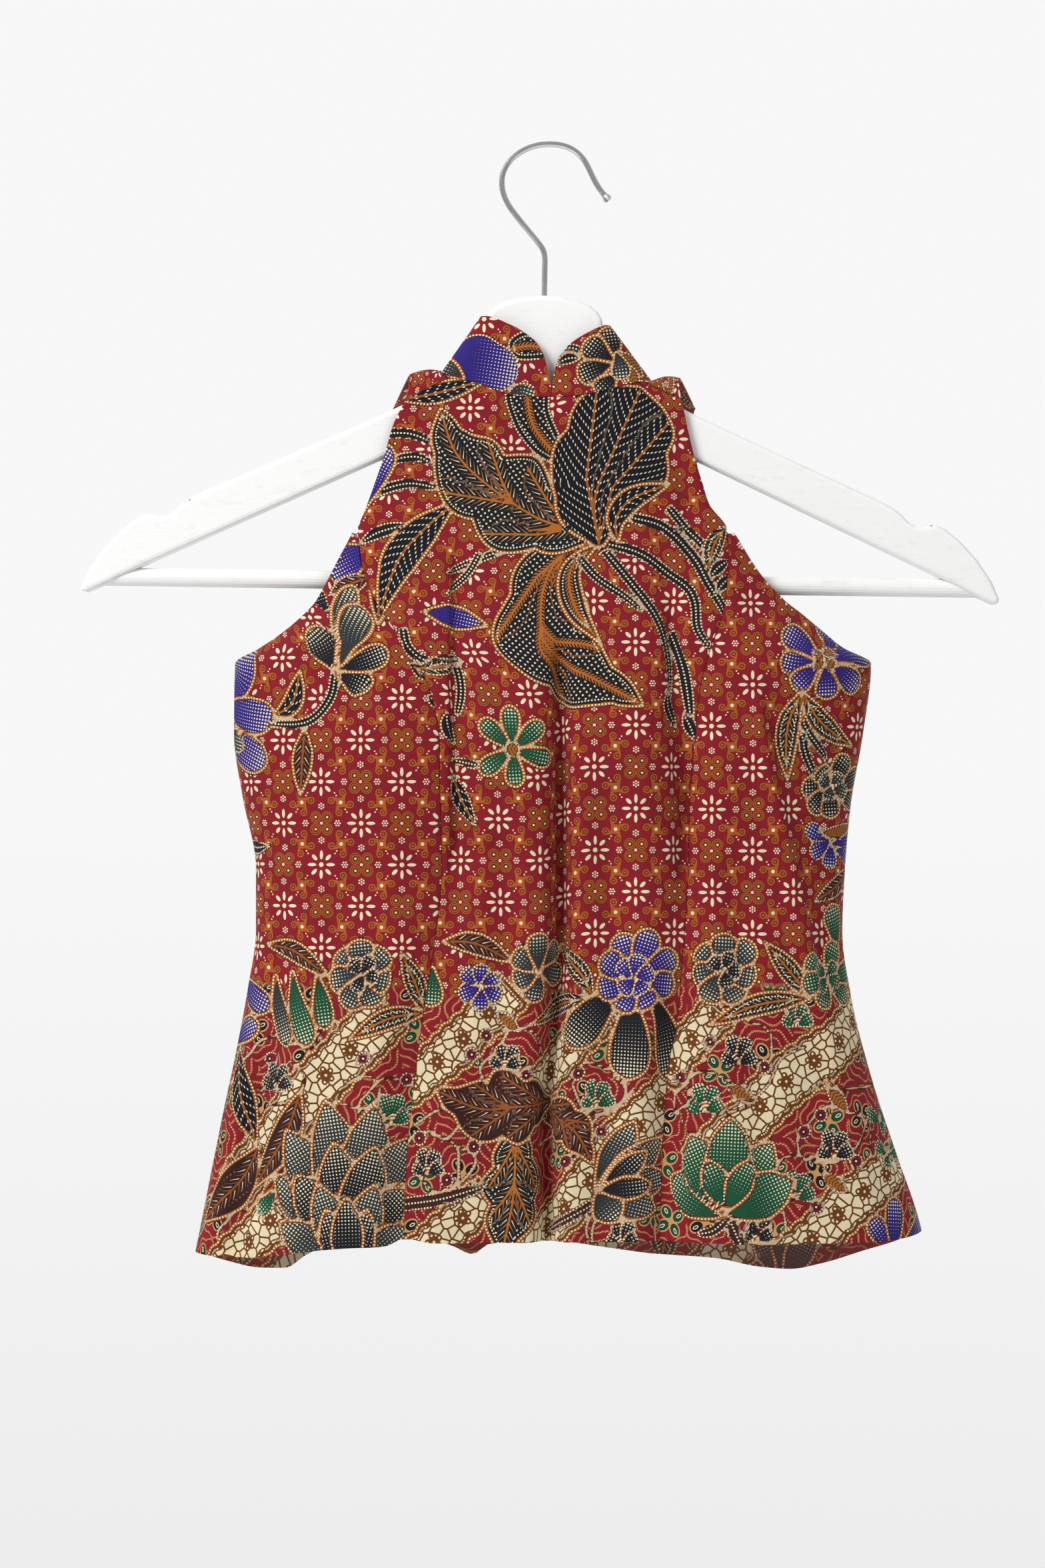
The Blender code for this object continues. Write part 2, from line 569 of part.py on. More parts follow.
def strap_arch(strap, leaf, side, turn, across):
    """A point of the shoulder strap. `turn` runs over the ridge from back to front, and `across`
    from the armhole edge to the collar."""
    rise = math.sin(math.pi * turn)
    base_x = strap.back_x + (strap.front_x - strap.back_x) * turn
    base_z = strap.back_z + (strap.front_z - strap.back_z) * turn
    middle_x = 0.5 * (strap.back_x + strap.front_x)
    middle_z = 0.5 * (strap.back_z + strap.front_z)
    armhole = np.array([
        base_x + (strap.ridge_x - middle_x) * rise,
        STRAP_DEPTH * math.cos(math.pi * turn),
        base_z + (strap.ridge_z - middle_z) * rise,
    ])
    if turn < 0.5:
        share = 1 - (1 - NECK_BACK_SHARE) * (1 - math.sin(math.pi * turn))
    else:
        share = 1 - (1 - NECK_FRONT_SHARE) * (1 - math.sin(math.pi * turn))
    collar = neck_seam(leaf, side, share, turn > 0.5)
    collar = collar + np.array([side * SEAM_GAP, 0.0, -SEAM_GAP])
    ends = armhole + (collar - armhole) * across
    crown = STRAP_CROWN * math.sin(math.pi * across) * rise
    return ends + np.array([0.0, 0.0, crown])


def build_back(name, side, edge_table, strap, leaf):
    levels = row_levels()
    first, second = BACK_COLUMNS
    top_shares = np.concatenate([
        np.linspace(0, BACK_NECK_SHARE, first + 1),
        np.linspace(BACK_NECK_SHARE, 1, second + 1)[1:],
    ])
    top = []
    for share in top_shares:
        if share <= BACK_NECK_SHARE:
            top.append(strap_arch(strap, leaf, side, 0.0, share / BACK_NECK_SHARE))
        else:
            along = NECK_BACK_SHARE * (1 - share) / (1 - BACK_NECK_SHARE)
            seam = neck_seam(leaf, side, along, False)
            top.append(seam + np.array([0.0, 0.0, -SEAM_GAP]))
    top = np.array(top)
    top[-1, 0] = side * SEAM_GAP / 2
    rows = len(levels) + STRAP_ROWS
    grid = np.zeros((rows, len(top_shares), 3))
    steps = np.linspace(0, 1, len(top_shares))
    for row, level in enumerate(levels):
        crowded = 1 - np.cos(steps * math.pi / 2)
        sideways = steps + (crowded - steps) * BACK_EDGE_CROWDING
        high = smooth_step((level - UNDERARM) / BACK_SPREAD)
        shares = sideways + (top_shares - sideways) * high
        edge = float(value_at(edge_table, "x", level))
        x = edge + (side * SEAM_GAP / 2 - edge) * shares
        z = level + hem_pull(level) * (value_at(BACK_HEM, "z", x, by="x") - HEM_ROW)
        pull = top_pull(level)
        flat = np.full(len(x), level)
        y = back_y(x, flat) + pull * (top[:, 1] - back_y(top[:, 0], np.full(len(x), TOP_ROW)))
        x = x + pull * (top[:, 0] - (edge + (side * SEAM_GAP / 2 - edge) * top_shares))
        z = z + pull * (top[:, 2] - level)
        grid[row] = np.column_stack([x, y, z])
    grid[: len(levels), 0, 1] += SEAM_GAP / 2
    for extra in range(STRAP_ROWS):
        turn = (extra + 1) / STRAP_ROWS
        for column in range(len(top_shares)):
            across = min(column / first, 1.0)
            point = strap_arch(strap, leaf, side, turn, across)
            if extra == STRAP_ROWS - 1:
                point = point + np.array([0.0, 0.0, SEAM_GAP])
            grid[len(levels) + extra, column] = point
    filled = np.ones((rows, len(top_shares)), bool)
    filled[len(levels) - 1:, first:] = False
    directions = np.zeros_like(grid)
    body = len(levels)
    directions[:body] = inward(grid[:body], side > 0)
    directions[body - 1:, : first + 1] = inward(grid[body - 1:, : first + 1], side > 0)
    directions[body - 1] = (0.0, -1.0, 0.0)
    directions[-1] = (0.0, 1.0, 0.0)
    mitre_side_seam(directions, levels, side)
    inner = grid + BODY_CLOTH * directions
    wall(name, grid, inner, filled, "batik")


def build_collar(name, side, leaf):
    """One half of the collar, from the centre front round the side fold to the centre back."""
    front = [row.share for row in leaf.share_points]
    stations = [(share, True) for share in sorted(front + COLLAR_EXTRA_SHARES)]
    stations += [(share, False) for share in COLLAR_BACK_SHARES]
    outer = np.zeros((COLLAR_ROWS + 1, len(stations), 3))
    for column, (share, at_front) in enumerate(stations):
        base = neck_seam(leaf, side, share, at_front)[2]
        if at_front:
            top = float(value_at(leaf.share_points, "top", share, by="share"))
        else:
            side_top = leaf.share_points[-1].top
            heights = [CENTRE_BACK_TOP, leaf.back_top, side_top]
            top = float(curve_through([0, NECK_BACK_SHARE, 1], heights, share))
        for row in range(COLLAR_ROWS + 1):
            z = base + (top - base) * row / COLLAR_ROWS
            outer[row, column] = collar_point(leaf, side, share, z, at_front)
    outer[:, 0, 0] += side * SEAM_GAP / 2
    outer[:, -1, 0] += side * SEAM_GAP / 2
    directions = inward(outer, side > 0)
    directions[:, :, 2] = 0.0
    directions[:, 0] = (0.0, 1.0, 0.0)
    directions[:, -1] = (0.0, -1.0, 0.0)
    directions /= np.linalg.norm(directions, axis=2, keepdims=True)
    inner = outer + COLLAR_CLOTH * directions
    wall(name, outer, inner, np.ones(outer.shape[:2], bool), "batik")


def hanger_to_world(x, y, z):
    """From the hanger's own frame, on its stem's axis, to where it hangs."""
    x = x - SEAT_OFF_STEM
    turned_x = x * math.cos(HANGER_TILT) + z * math.sin(HANGER_TILT)
    turned_z = -x * math.sin(HANGER_TILT) + z * math.cos(HANGER_TILT)
    return (turned_x * MM, y * MM, turned_z * MM)


def mesh_from(name, points, faces):
    data = bpy.data.meshes.new(name)
    data.from_pydata(points, [], faces)
    data.update()
    return data


def rod(name, start, end, radius, sides):
    """A round bar between two points of the hanger's frame that share one axis direction."""
    start, end = np.array(start, float), np.array(end, float)
    axis = (end - start) / np.linalg.norm(end - start)
    first = np.array([0.0, 1.0, 0.0])
    second = np.cross(axis, first)
    points = []
    for centre in (start, end):
        for k in range(sides):
            angle = 2 * math.pi * k / sides
            ring = centre + radius * (math.cos(angle) * first + math.sin(angle) * second)
            points.append(hanger_to_world(*ring))
    faces = [tuple(reversed(range(sides))), tuple(range(sides, 2 * sides))]
    for k in range(sides):
        after = (k + 1) % sides
        faces.append((k, after, sides + after, sides + k))
    return mesh_from(name, points, faces)


def cutter(name, data):
    made = bpy.data.objects.new(name, data)
    bpy.context.scene.collection.objects.link(made)
    made.hide_render = True
    made.display_type = "WIRE"
    return made


def build_hanger_wood():
    half = HANGER_TOP + HANGER_NOTCH + HANGER_END + HANGER_BELOW
    right = [(corner.x, corner.z) for corner in half]
    left = [(-corner.x, corner.z) for corner in reversed(half[1:-1])]
    outline = right + left
    count = len(outline)
    points = []
    for y in (-HANGER_THICKNESS / 2, HANGER_THICKNESS / 2):
        points += [hanger_to_world(x, y, z) for x, z in outline]
    faces = [tuple(reversed(range(count))), tuple(range(count, 2 * count))]
    for k in range(count):
        after = (k + 1) % count
        faces.append((k, after, count + after, count + k))
    data = mesh_from("hanger_wood", points, faces)
    mesh = bmesh.new()
    mesh.from_mesh(data)
    bmesh.ops.recalc_face_normals(mesh, faces=mesh.faces)
    mesh.to_mesh(data)
    mesh.free()
    wood = add_object("hanger_wood", data, "white_lacquer")
    rounding = wood.modifiers.new("rounded edges", "BEVEL")
    rounding.width = HANGER_ROUNDING * MM
    rounding.segments = 3
    rounding.limit_method = "ANGLE"
    rounding.angle_limit = HANGER_CORNER
    reach = BAR_HALF_LENGTH + BAR_CLEARANCE
    socket = rod("bar_socket_cutter", (-reach, 0, BAR_HEIGHT), (reach, 0, BAR_HEIGHT),
                 BAR_RADIUS + BAR_CLEARANCE, SOCKET_SIDES)
    bore = rod("stem_bore_cutter", (0, 0, BORE_END), (0, 0, STEM_TOP),
               WIRE_RADIUS + WIRE_CLEARANCE, BORE_SIDES)
    cutters = [cutter("bar_socket_cutter", socket), cutter("stem_bore_cutter", bore)]
    for tool in cutters:
        cut = wood.modifiers.new(tool.name, "BOOLEAN")
        cut.operation = "DIFFERENCE"
        cut.object = tool


def build_hanger_bar():
    data = rod("hanger_bar", (-BAR_HALF_LENGTH, 0, BAR_HEIGHT), (BAR_HALF_LENGTH, 0, BAR_HEIGHT),
               BAR_RADIUS, BAR_SIDES)
    add_object("hanger_bar", data, "white_lacquer")


def build_hook():
    """The steel hook: one round wire whose tip is turned out and thickened to a bead."""
    knots = np.arange(len(HOOK_ROUTE))
    fine = np.linspace(0, len(HOOK_ROUTE) - 1, (len(HOOK_ROUTE) - 1) * HOOK_STEPS + 1)
    route = np.column_stack([
        catmull_rom(knots, [corner.x for corner in HOOK_ROUTE], fine),
        catmull_rom(knots, [corner.z for corner in HOOK_ROUTE], fine),
    ])
    tangents = np.gradient(route, axis=0)
    tangents /= np.linalg.norm(tangents, axis=1, keepdims=True)
    walked = np.concatenate([[0], np.cumsum(np.linalg.norm(np.diff(route, axis=0), axis=1))])
    bead = np.exp(-(((walked - HOOK_BEAD_PLACE) / HOOK_BEAD_SPREAD) ** 2))
    radii = WIRE_RADIUS + (HOOK_TIP_RADIUS - WIRE_RADIUS) * bead
    radii[0] = HOOK_END_RADIUS
    points, faces = [], []
    for centre, tangent, radius in zip(route, tangents, radii):
        across = (tangent[1], -tangent[0])
        for k in range(HOOK_SIDES):
            angle = 2 * math.pi * k / HOOK_SIDES
            out = radius * math.cos(angle)
            points.append(hanger_to_world(centre[0] + across[0] * out, radius * math.sin(angle),
                                          centre[1] + across[1] * out))
    count = len(route)
    for ring in range(count - 1):
        for k in range(HOOK_SIDES):
            after = (k + 1) % HOOK_SIDES
            a, b = ring * HOOK_SIDES, (ring + 1) * HOOK_SIDES
            faces.append((a + k, a + after, b + after, b + k))
    faces.append(tuple(reversed(range(HOOK_SIDES))))
    faces.append(tuple(range((count - 1) * HOOK_SIDES, count * HOOK_SIDES)))
    data = mesh_from("hanger_hook", points, faces)
    mesh = bmesh.new()
    mesh.from_mesh(data)
    bmesh.ops.recalc_face_normals(mesh, faces=mesh.faces)
    mesh.to_mesh(data)
    mesh.free()
    add_object("hanger_hook", data, "steel")


def catmull_rom(knots, values, at):
    """A smooth curve through evenly numbered knots, free to swing a little past them."""
    values = np.asarray(values, float)
    padded = np.concatenate([[2 * values[0] - values[1]], values, [2 * values[-1] - values[-2]]])
    i = np.clip(np.floor(at).astype(int), 0, len(knots) - 2)
    t = at - i
    a, b, c, d = padded[i], padded[i + 1], padded[i + 2], padded[i + 3]
    return 0.5 * (2 * b + (c - a) * t + (2 * a - 5 * b + 4 * c - d) * t**2
                  + (3 * b - a - 3 * c + d) * t**3)


def main():
    clear_scene()
    build_middle_front()
    build_side_front("front_side_left", -1, LEFT_EDGE, LEFT_SEAM)
    build_side_front("front_side_right", 1, RIGHT_EDGE, RIGHT_SEAM)
    build_back("back_left", -1, LEFT_EDGE, LEFT_STRAP, LEFT_COLLAR)
    build_back("back_right", 1, RIGHT_EDGE, RIGHT_STRAP, RIGHT_COLLAR)
    build_collar("collar_left", -1, LEFT_COLLAR)
    build_collar("collar_right", 1, RIGHT_COLLAR)
    build_hanger_wood()
    build_hanger_bar()
    build_hook()


main()
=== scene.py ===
"""Looks of a batik halter top on a wooden hanger, dressed over its CAD frame.

Sizes are in millimetres until a mesh is made, in the CAD's own axes: the front of the top faces -Y,
what is left in a view of the front lies at -X, and the origin is the point that carries the hook.
Places in the print are written as they are seen in a view of the front, and are moved onto the cloth.
"""

import math
from collections import namedtuple

import bpy
import numpy as np
from bpy.props import FloatProperty, FloatVectorProperty, PointerProperty
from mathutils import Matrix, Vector


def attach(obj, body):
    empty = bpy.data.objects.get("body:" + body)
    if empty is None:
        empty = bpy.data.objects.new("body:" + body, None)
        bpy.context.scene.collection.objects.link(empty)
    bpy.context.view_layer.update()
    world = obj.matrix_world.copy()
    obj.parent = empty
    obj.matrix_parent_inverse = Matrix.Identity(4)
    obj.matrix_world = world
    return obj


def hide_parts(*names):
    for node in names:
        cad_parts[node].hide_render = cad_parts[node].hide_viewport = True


bl_info = {
    "name": "Batik halter top",
    "version": (1, 0, 0),
    "blender": (4, 5, 0),
    "location": "View3D > Sidebar > Halter Top",
    "description": "Dresses the halter top and its hanger with printed cloth, lacquer and steel",
    "category": "Add Mesh",
}

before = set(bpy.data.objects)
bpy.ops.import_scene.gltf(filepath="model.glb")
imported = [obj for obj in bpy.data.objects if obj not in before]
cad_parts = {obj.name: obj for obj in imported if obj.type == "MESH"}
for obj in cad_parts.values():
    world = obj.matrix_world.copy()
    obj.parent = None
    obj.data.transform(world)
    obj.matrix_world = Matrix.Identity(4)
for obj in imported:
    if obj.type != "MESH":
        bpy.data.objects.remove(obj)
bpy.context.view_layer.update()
MM = 0.001

# Cloth and seams
BODY_CLOTH = 1.2
COLLAR_CLOTH = 1.6
SEAM_GAP = 0.3
SEAM_ROLL = 0.5
SEAM_ROLL_REACH = 1.1
SHARP_EDGE = math.radians(55)

# Sizes of the print's small parts
CELL = 19.5
STAR_PETAL = (4.6, 2.1, 0.78)
STAR_SIDE_PETAL = (4.8, 1.7, 0.85)
STAR_CENTRE = 1.1
FLOWER_LOBE = 2.85
FLOWER_RADIUS = 2.75
ROSETTE_PLACE = 8.0
CURL_LEAN = 0.2
CURL_REACH = 4.8
CURL_RADIUS = 1.75
CURL_SPOT = 2.3
DOT_PITCH = 1.6
DOTS_FROM, DOTS_FULL = 0.24, 0.95
VEIN_PITCH = 4.7
ROW_SLANT = 1.45
ROW_DOT_PITCH = 1.3
FIELD_PITCH = 2.25
DOT_LEAN = 0.6
STROKE_PITCH = 2.7
STROKE_REACH = 4.0
COMB_REACH = 1.9
BEAD_PITCH = 1.6
BEAD_RADIUS = 0.45
COMB_MARGIN = 0.6
RIB_LINE = 0.5
CODE_REACH = 0.4
REVERSE_SHARE = 0.25
POOLING = (0.82, 0.98)
EYE_PLACE = (3.0, 0.0)
EYE_RADIUS = 1.35
EYE_DOT_RADIUS = 0.55
FIELD_DOT = 0.46
FIELD_DEPTH = 3.0
LACE_THREAD = 0.085
LACE_RANDOMNESS = 0.8
BAND_HALF_WIDTH = 1.15
BAND_EDGE = 0.28
LACE_CELL = 5.0
LACE_FLOWER_PITCH = 17.0
LACE_HEM = 3.3
DYE_POOL = 14.0
PATTERN_CODES = 16

# Where each sheet's print is anchored: a star's centre, in the sheet's own measure
MIDDLE_ANCHOR = 39.3
GRAIN_RISE = 5.0
MIDDLE_STAR = (39.3, -277.0)
LEFT_STAR = (-70.2, -303.5)
RIGHT_STAR = (94.3, -336.0)
COLLAR_LEFT_STAR = (-32.0, -83.0)
COLLAR_RIGHT_STAR = (-15.5, -113.0)
BACK_STAR = (29.25, -290.0)
BORDER_LEVEL = -399.0
COLLAR_BORDER_LEVEL = -900.0

# Bare spots on the hanger, in the CAD's axes: x, y, z and radius
HANGER_CHIPS = [(-175.6, -5.4, -169.4, 1.3), (-173.2, -5.8, -168.9, 0.9), (-186.0, -4.6, -176.2, 0.7),
                (181.5, -5.0, -181.0, 0.6)]

# The border's ground: small flowers, each in rings of dotted wavy lines
BORDER_PITCH = 26.0
BORDER_LEAN = 0.5
BORDER_PETALS = (4.6, 3.0, 2.3)
BORDER_RIMS = (4.6, 3.75, 3.0)
BORDER_EYES = (5.2, 1.5, 0.8)
BORDER_EYE_HOLES = (5.2, 1.0, 0.4)
LINES_FROM = 9.4
LINE_PITCH = 3.9
LINE_DOT = 0.55
LINE_DOT_PITCH = 1.5
LINE_WAVES, LINE_WAVE = 7.0, 0.8

# Levels of the body's rings
HEM_ROW = -519.0
UNDERARM = -247.0
PANEL_POINT = -182.0
PANEL_TIP = -185.5
TOP_ROW = -121.5
HEM_FADE = 70.0
TOP_FADE = 46.0
ROW_TOLERANCE = 1.0

# How a sheet's bow changes from rounded side seams to open armholes, and where folds fade out
ARMHOLE_FADE = 30.0
SIDE_ROUNDNESS = 2.2
ARMHOLE_ROUNDNESS = 1.2
FOLD_LIMIT = 0.9
UNDERARM_MITRE = (0.6, 0.8)
SLOPE_REACH = 2.0

# Fine grids of the sheets, a little over a millimetre between threads of the mesh
ROWS_BELOW_ARM = 168
ROWS_BESIDE_PANEL = 38
ROWS_TO_SHOULDER = 40
STRAP_ROWS = 26
COLLAR_ROWS = 34
FRONT_COLUMNS = (20, 106, 14)
FRONT_NECK_SHARES = (0.15, 0.895)
SIDE_COLUMNS = 66
SIDE_SPREAD = 30.0
SIDE_CROWDING = 0.5
BACK_COLUMNS = (30, 58)
BACK_NECK_SHARE = 0.4
BACK_EDGE_CROWDING = 0.6
BACK_SPREAD = 40.0
COLLAR_COLUMNS = (46, 34)
EDGE_COLUMNS = [0.35, 0.8, 1.3]
EDGE_CLEARANCE = 1.3

# Creases that are too fine for the CAD solids. A negative depth is a ridge
Crease = namedtuple("Crease", "width depth path")
Pleat = namedtuple("Pleat", "depth reach edge path")
FRONT_CREASES = [
    Crease(8.0, 2.6, [(26, -292), (29, -370), (27, -460), (25, -540)]),
    Crease(6.5, -1.5, [(40, -250), (44, -330), (46, -420), (45, -540)]),
    Crease(8.0, 2.5, [(-20, -318), (-24, -400), (-29, -470), (-31, -540)]),
    Crease(6.5, -1.5, [(-10, -246), (-12, -330), (-14, -420), (-15, -520)]),
    Crease(7.0, 2.6, [(84, -330), (90, -400), (97, -470), (101, -520)]),
    Crease(7.0, 2.4, [(-98, -340), (-106, -420), (-111, -500), (-112, -540)]),
    Crease(6.5, -1.5, [(-72, -300), (-77, -380), (-84, -460), (-88, -530)]),
    Crease(3.6, 5.0, [(4.2, -232), (4.2, -300), (4.4, -370), (1.5, -415), (-2.6, -460), (-1.5, -540)]),
    Crease(3.4, 4.0, [(57, -212), (57.5, -262), (61, -318), (62, -360)]),
    Crease(4.4, 3.2, [(63, -236), (64.5, -282), (63, -330)]),
    Crease(4.5, 1.5, [(-150, -250), (-132, -268), (-116, -292)]),
    Crease(4.0, -0.7, [(-150, -262), (-134, -284), (-124, -316)]),
    Crease(4.5, 1.6, [(-146, -318), (-128, -334), (-108, -342)]),
    Crease(4.0, 0.8, [(-142, -350), (-124, -354), (-106, -350)]),
    Crease(5.0, -0.6, [(-143, -334), (-122, -345), (-104, -347)]),
    Crease(4.5, 1.8, [(148, -262), (134, -290), (127, -330)]),
    Crease(4.0, 1.6, [(143, -322), (132, -340), (122, -362)]),
    Crease(4.5, 1.5, [(140, -352), (128, -372), (124, -398)]),
    Crease(5.0, 0.7, [(-96, -192), (-84, -216), (-72, -246)]),
    Crease(5.0, 0.6, [(90, -196), (95, -224), (106, -250)]),
    Crease(6.0, 0.6, [(-62, -126), (-66, -152), (-62, -186)]),
    Crease(5.0, -0.5, [(-52, -122), (-53, -152), (-48, -190)]),
    Crease(5.0, 0.5, [(46, -120), (50, -150), (50, -186)]),
    Crease(7.0, 0.6, [(-22, -226), (-26, -272), (-24, -330)]),
    Crease(8.0, -0.7, [(28, -260), (31, -320), (33, -372)]),
    Crease(8.0, -0.6, [(-24, -330), (-25, -400), (-27, -455)]),
    Crease(7.0, 0.8, [(-100, -420), (-97, -470), (-94, -530)]),
    Crease(6.0, 0.8, [(-128, -400), (-134, -450), (-139, -500)]),
    Crease(7.0, 0.9, [(24, -440), (22, -485), (20, -530)]),
    Crease(7.0, 0.8, [(116, -420), (122, -470), (130, -525)]),
    Crease(7.0, 0.7, [(78, -430), (80, -480), (80, -530)]),
    Crease(6.0, 0.7, [(-38, -440), (-40, -485), (-42, -530)]),
]
FRONT_PLEATS = [
    Pleat(3.4, 13.0, 0.9, [(-46.4, -186), (-47.2, -215), (-47.6, -262), (-47.2, -326), (-49, -352)]),
    Pleat(2.6, 16.0, 0.9, [(97, -252), (105, -300), (114, -336), (122, -372), (130, -420)]),
]
BACK_CREASES = [
    Crease(4.5, -1.4, [(-60, -250), (-62, -330), (-66, -420), (-72, -500)]),
    Crease(4.5, -1.4, [(58, -250), (62, -330), (66, -420), (74, -500)]),
    Crease(5.0, -0.9, [(-148, -262), (-128, -292), (-112, -330)]),
    Crease(5.0, -0.9, [(148, -262), (128, -292), (114, -334)]),
    Crease(5.0, -0.8, [(-142, -345), (-118, -352), (-96, -350)]),
    Crease(5.0, -0.8, [(140, -348), (118, -356), (98, -352)]),
    Crease(6.0, 0.7, [(-30, -140), (-34, -200), (-30, -260)]),
    Crease(6.0, 0.7, [(30, -140), (33, -200), (30, -262)]),
]
CREASE_END = 22.0
RIPPLES = [(0.16, 31.0, 13.0, 0.4), (0.12, -17.0, 23.0, 1.9), (0.09, 11.0, 41.0, 2.6)]
HEM_STITCHES = 13.0
HEM_GROOVE = (0.28, 1.3)

# The view that the places in the print were read in
VIEW_CENTRE = (-13.7, -304.6)
VIEW_DISTANCE = 2000.0
VIEW_HEIGHT = 750.0

Edge = namedtuple("Edge", "z x")
Depth = namedtuple("Depth", "z edge centre square")
Point = namedtuple("Point", "x z")
Fold = namedtuple("Fold", "name width path")
Station = namedtuple("Station", "z x depth")
Neck = namedtuple("Neck", "share base top")
Leaf = namedtuple("Leaf", "width_top z_top lean share_points back_base back_top")

# The side seams and, above the underarm, the armhole edges
LEFT_EDGE = [
    Edge(-540, -174), Edge(-528, -171.7), Edge(-497, -165), Edge(-458, -156), Edge(-435, -151),
    Edge(-400, -144.5), Edge(-375, -141), Edge(-345, -141), Edge(-310, -147.5), Edge(-281, -151.5),
    Edge(-247, -151), Edge(-240, -139.5), Edge(-234, -130.3), Edge(-226.6, -120.9),
    Edge(-218, -112.3), Edge(-208, -105.7), Edge(-199, -100.8), Edge(-189, -95.4),
    Edge(-175, -89), Edge(-161, -83.9), Edge(-148, -79.5), Edge(-133, -75.2), Edge(-121.5, -69.4),
]
RIGHT_EDGE = [
    Edge(-540, 182), Edge(-522, 177.5), Edge(-510, 174.5), Edge(-480, 164.5), Edge(-445, 153),
    Edge(-405, 143), Edge(-375, 139), Edge(-345, 140.3), Edge(-315, 143), Edge(-280, 149),
    Edge(-247, 152.8), Edge(-239.5, 139), Edge(-231.7, 129.2), Edge(-224, 119.8),
    Edge(-216.7, 110.3), Edge(-208, 101), Edge(-199.5, 94.6), Edge(-188.7, 88),
    Edge(-179, 81.3), Edge(-171.8, 75.4), Edge(-161, 71.9), Edge(-149, 68.2), Edge(-138, 65.6),
    Edge(-121.5, 62.2),
]

# The two princess seams of the front, from the armholes to the hem
LEFT_SEAM = [
    Edge(-540, -69.5), Edge(-487, -68.3), Edge(-445, -64.6), Edge(-407, -59.4), Edge(-382, -55.4),
    Edge(-343, -51.6), Edge(-304, -52.5), Edge(-283, -52.6), Edge(-269, -54.8), Edge(-252, -60.8),
    Edge(-239, -69), Edge(-228, -76.5), Edge(-218, -83.4), Edge(-207, -88.4), Edge(-195, -90.8),
    Edge(-182, -92.1),
]
RIGHT_SEAM = [
    Edge(-540, 50.2), Edge(-510, 50.8), Edge(-440, 54.4), Edge(-415, 59), Edge(-390, 61.2),
    Edge(-343, 64.3), Edge(-311, 65), Edge(-279, 67.6), Edge(-260, 69.6), Edge(-240, 75),
    Edge(-225, 80.4), Edge(-210, 83.2), Edge(-196, 84.0), Edge(-182, 83.4),
]

# How far the front and the back stand from the hanger's plane, at their edges and in the middle
FRONT_DEPTH = [
    Depth(-540, -3, -50, 5.0), Depth(-519, -3, -49.5, 5.0), Depth(-460, -3, -47, 5.2),
    Depth(-400, -3, -43, 5.0), Depth(-350, -3, -40.5, 4.2), Depth(-320, -3, -43, 3.4),
    Depth(-285, -3, -46, 2.8), Depth(-260, -3, -44, 2.7), Depth(-247, -3, -42, 2.7),
    Depth(-238, -6, -39.5, 2.7), Depth(-226, -9.5, -36, 2.6), Depth(-205, -11.5, -29, 2.5),
    Depth(-180, -11, -22.5, 2.4), Depth(-150, -10.2, -16.8, 2.3), Depth(-121.5, -9.8, -13.6, 2.2),
]
BACK_DEPTH = [
    Depth(-540, -3, 15, 6.0), Depth(-460, -3, 14.5, 6.0), Depth(-350, -3, 12.5, 6.0),
    Depth(-285, -3, 13.5, 5.5), Depth(-247, -3, 13, 5.0), Depth(-238, 2, 12.7, 4.5),
    Depth(-226, 7, 12.4, 4.0), Depth(-205, 9.4, 12, 3.5), Depth(-150, 9.4, 11.4, 3.0),
    Depth(-108, 9.4, 11, 3.0),
]

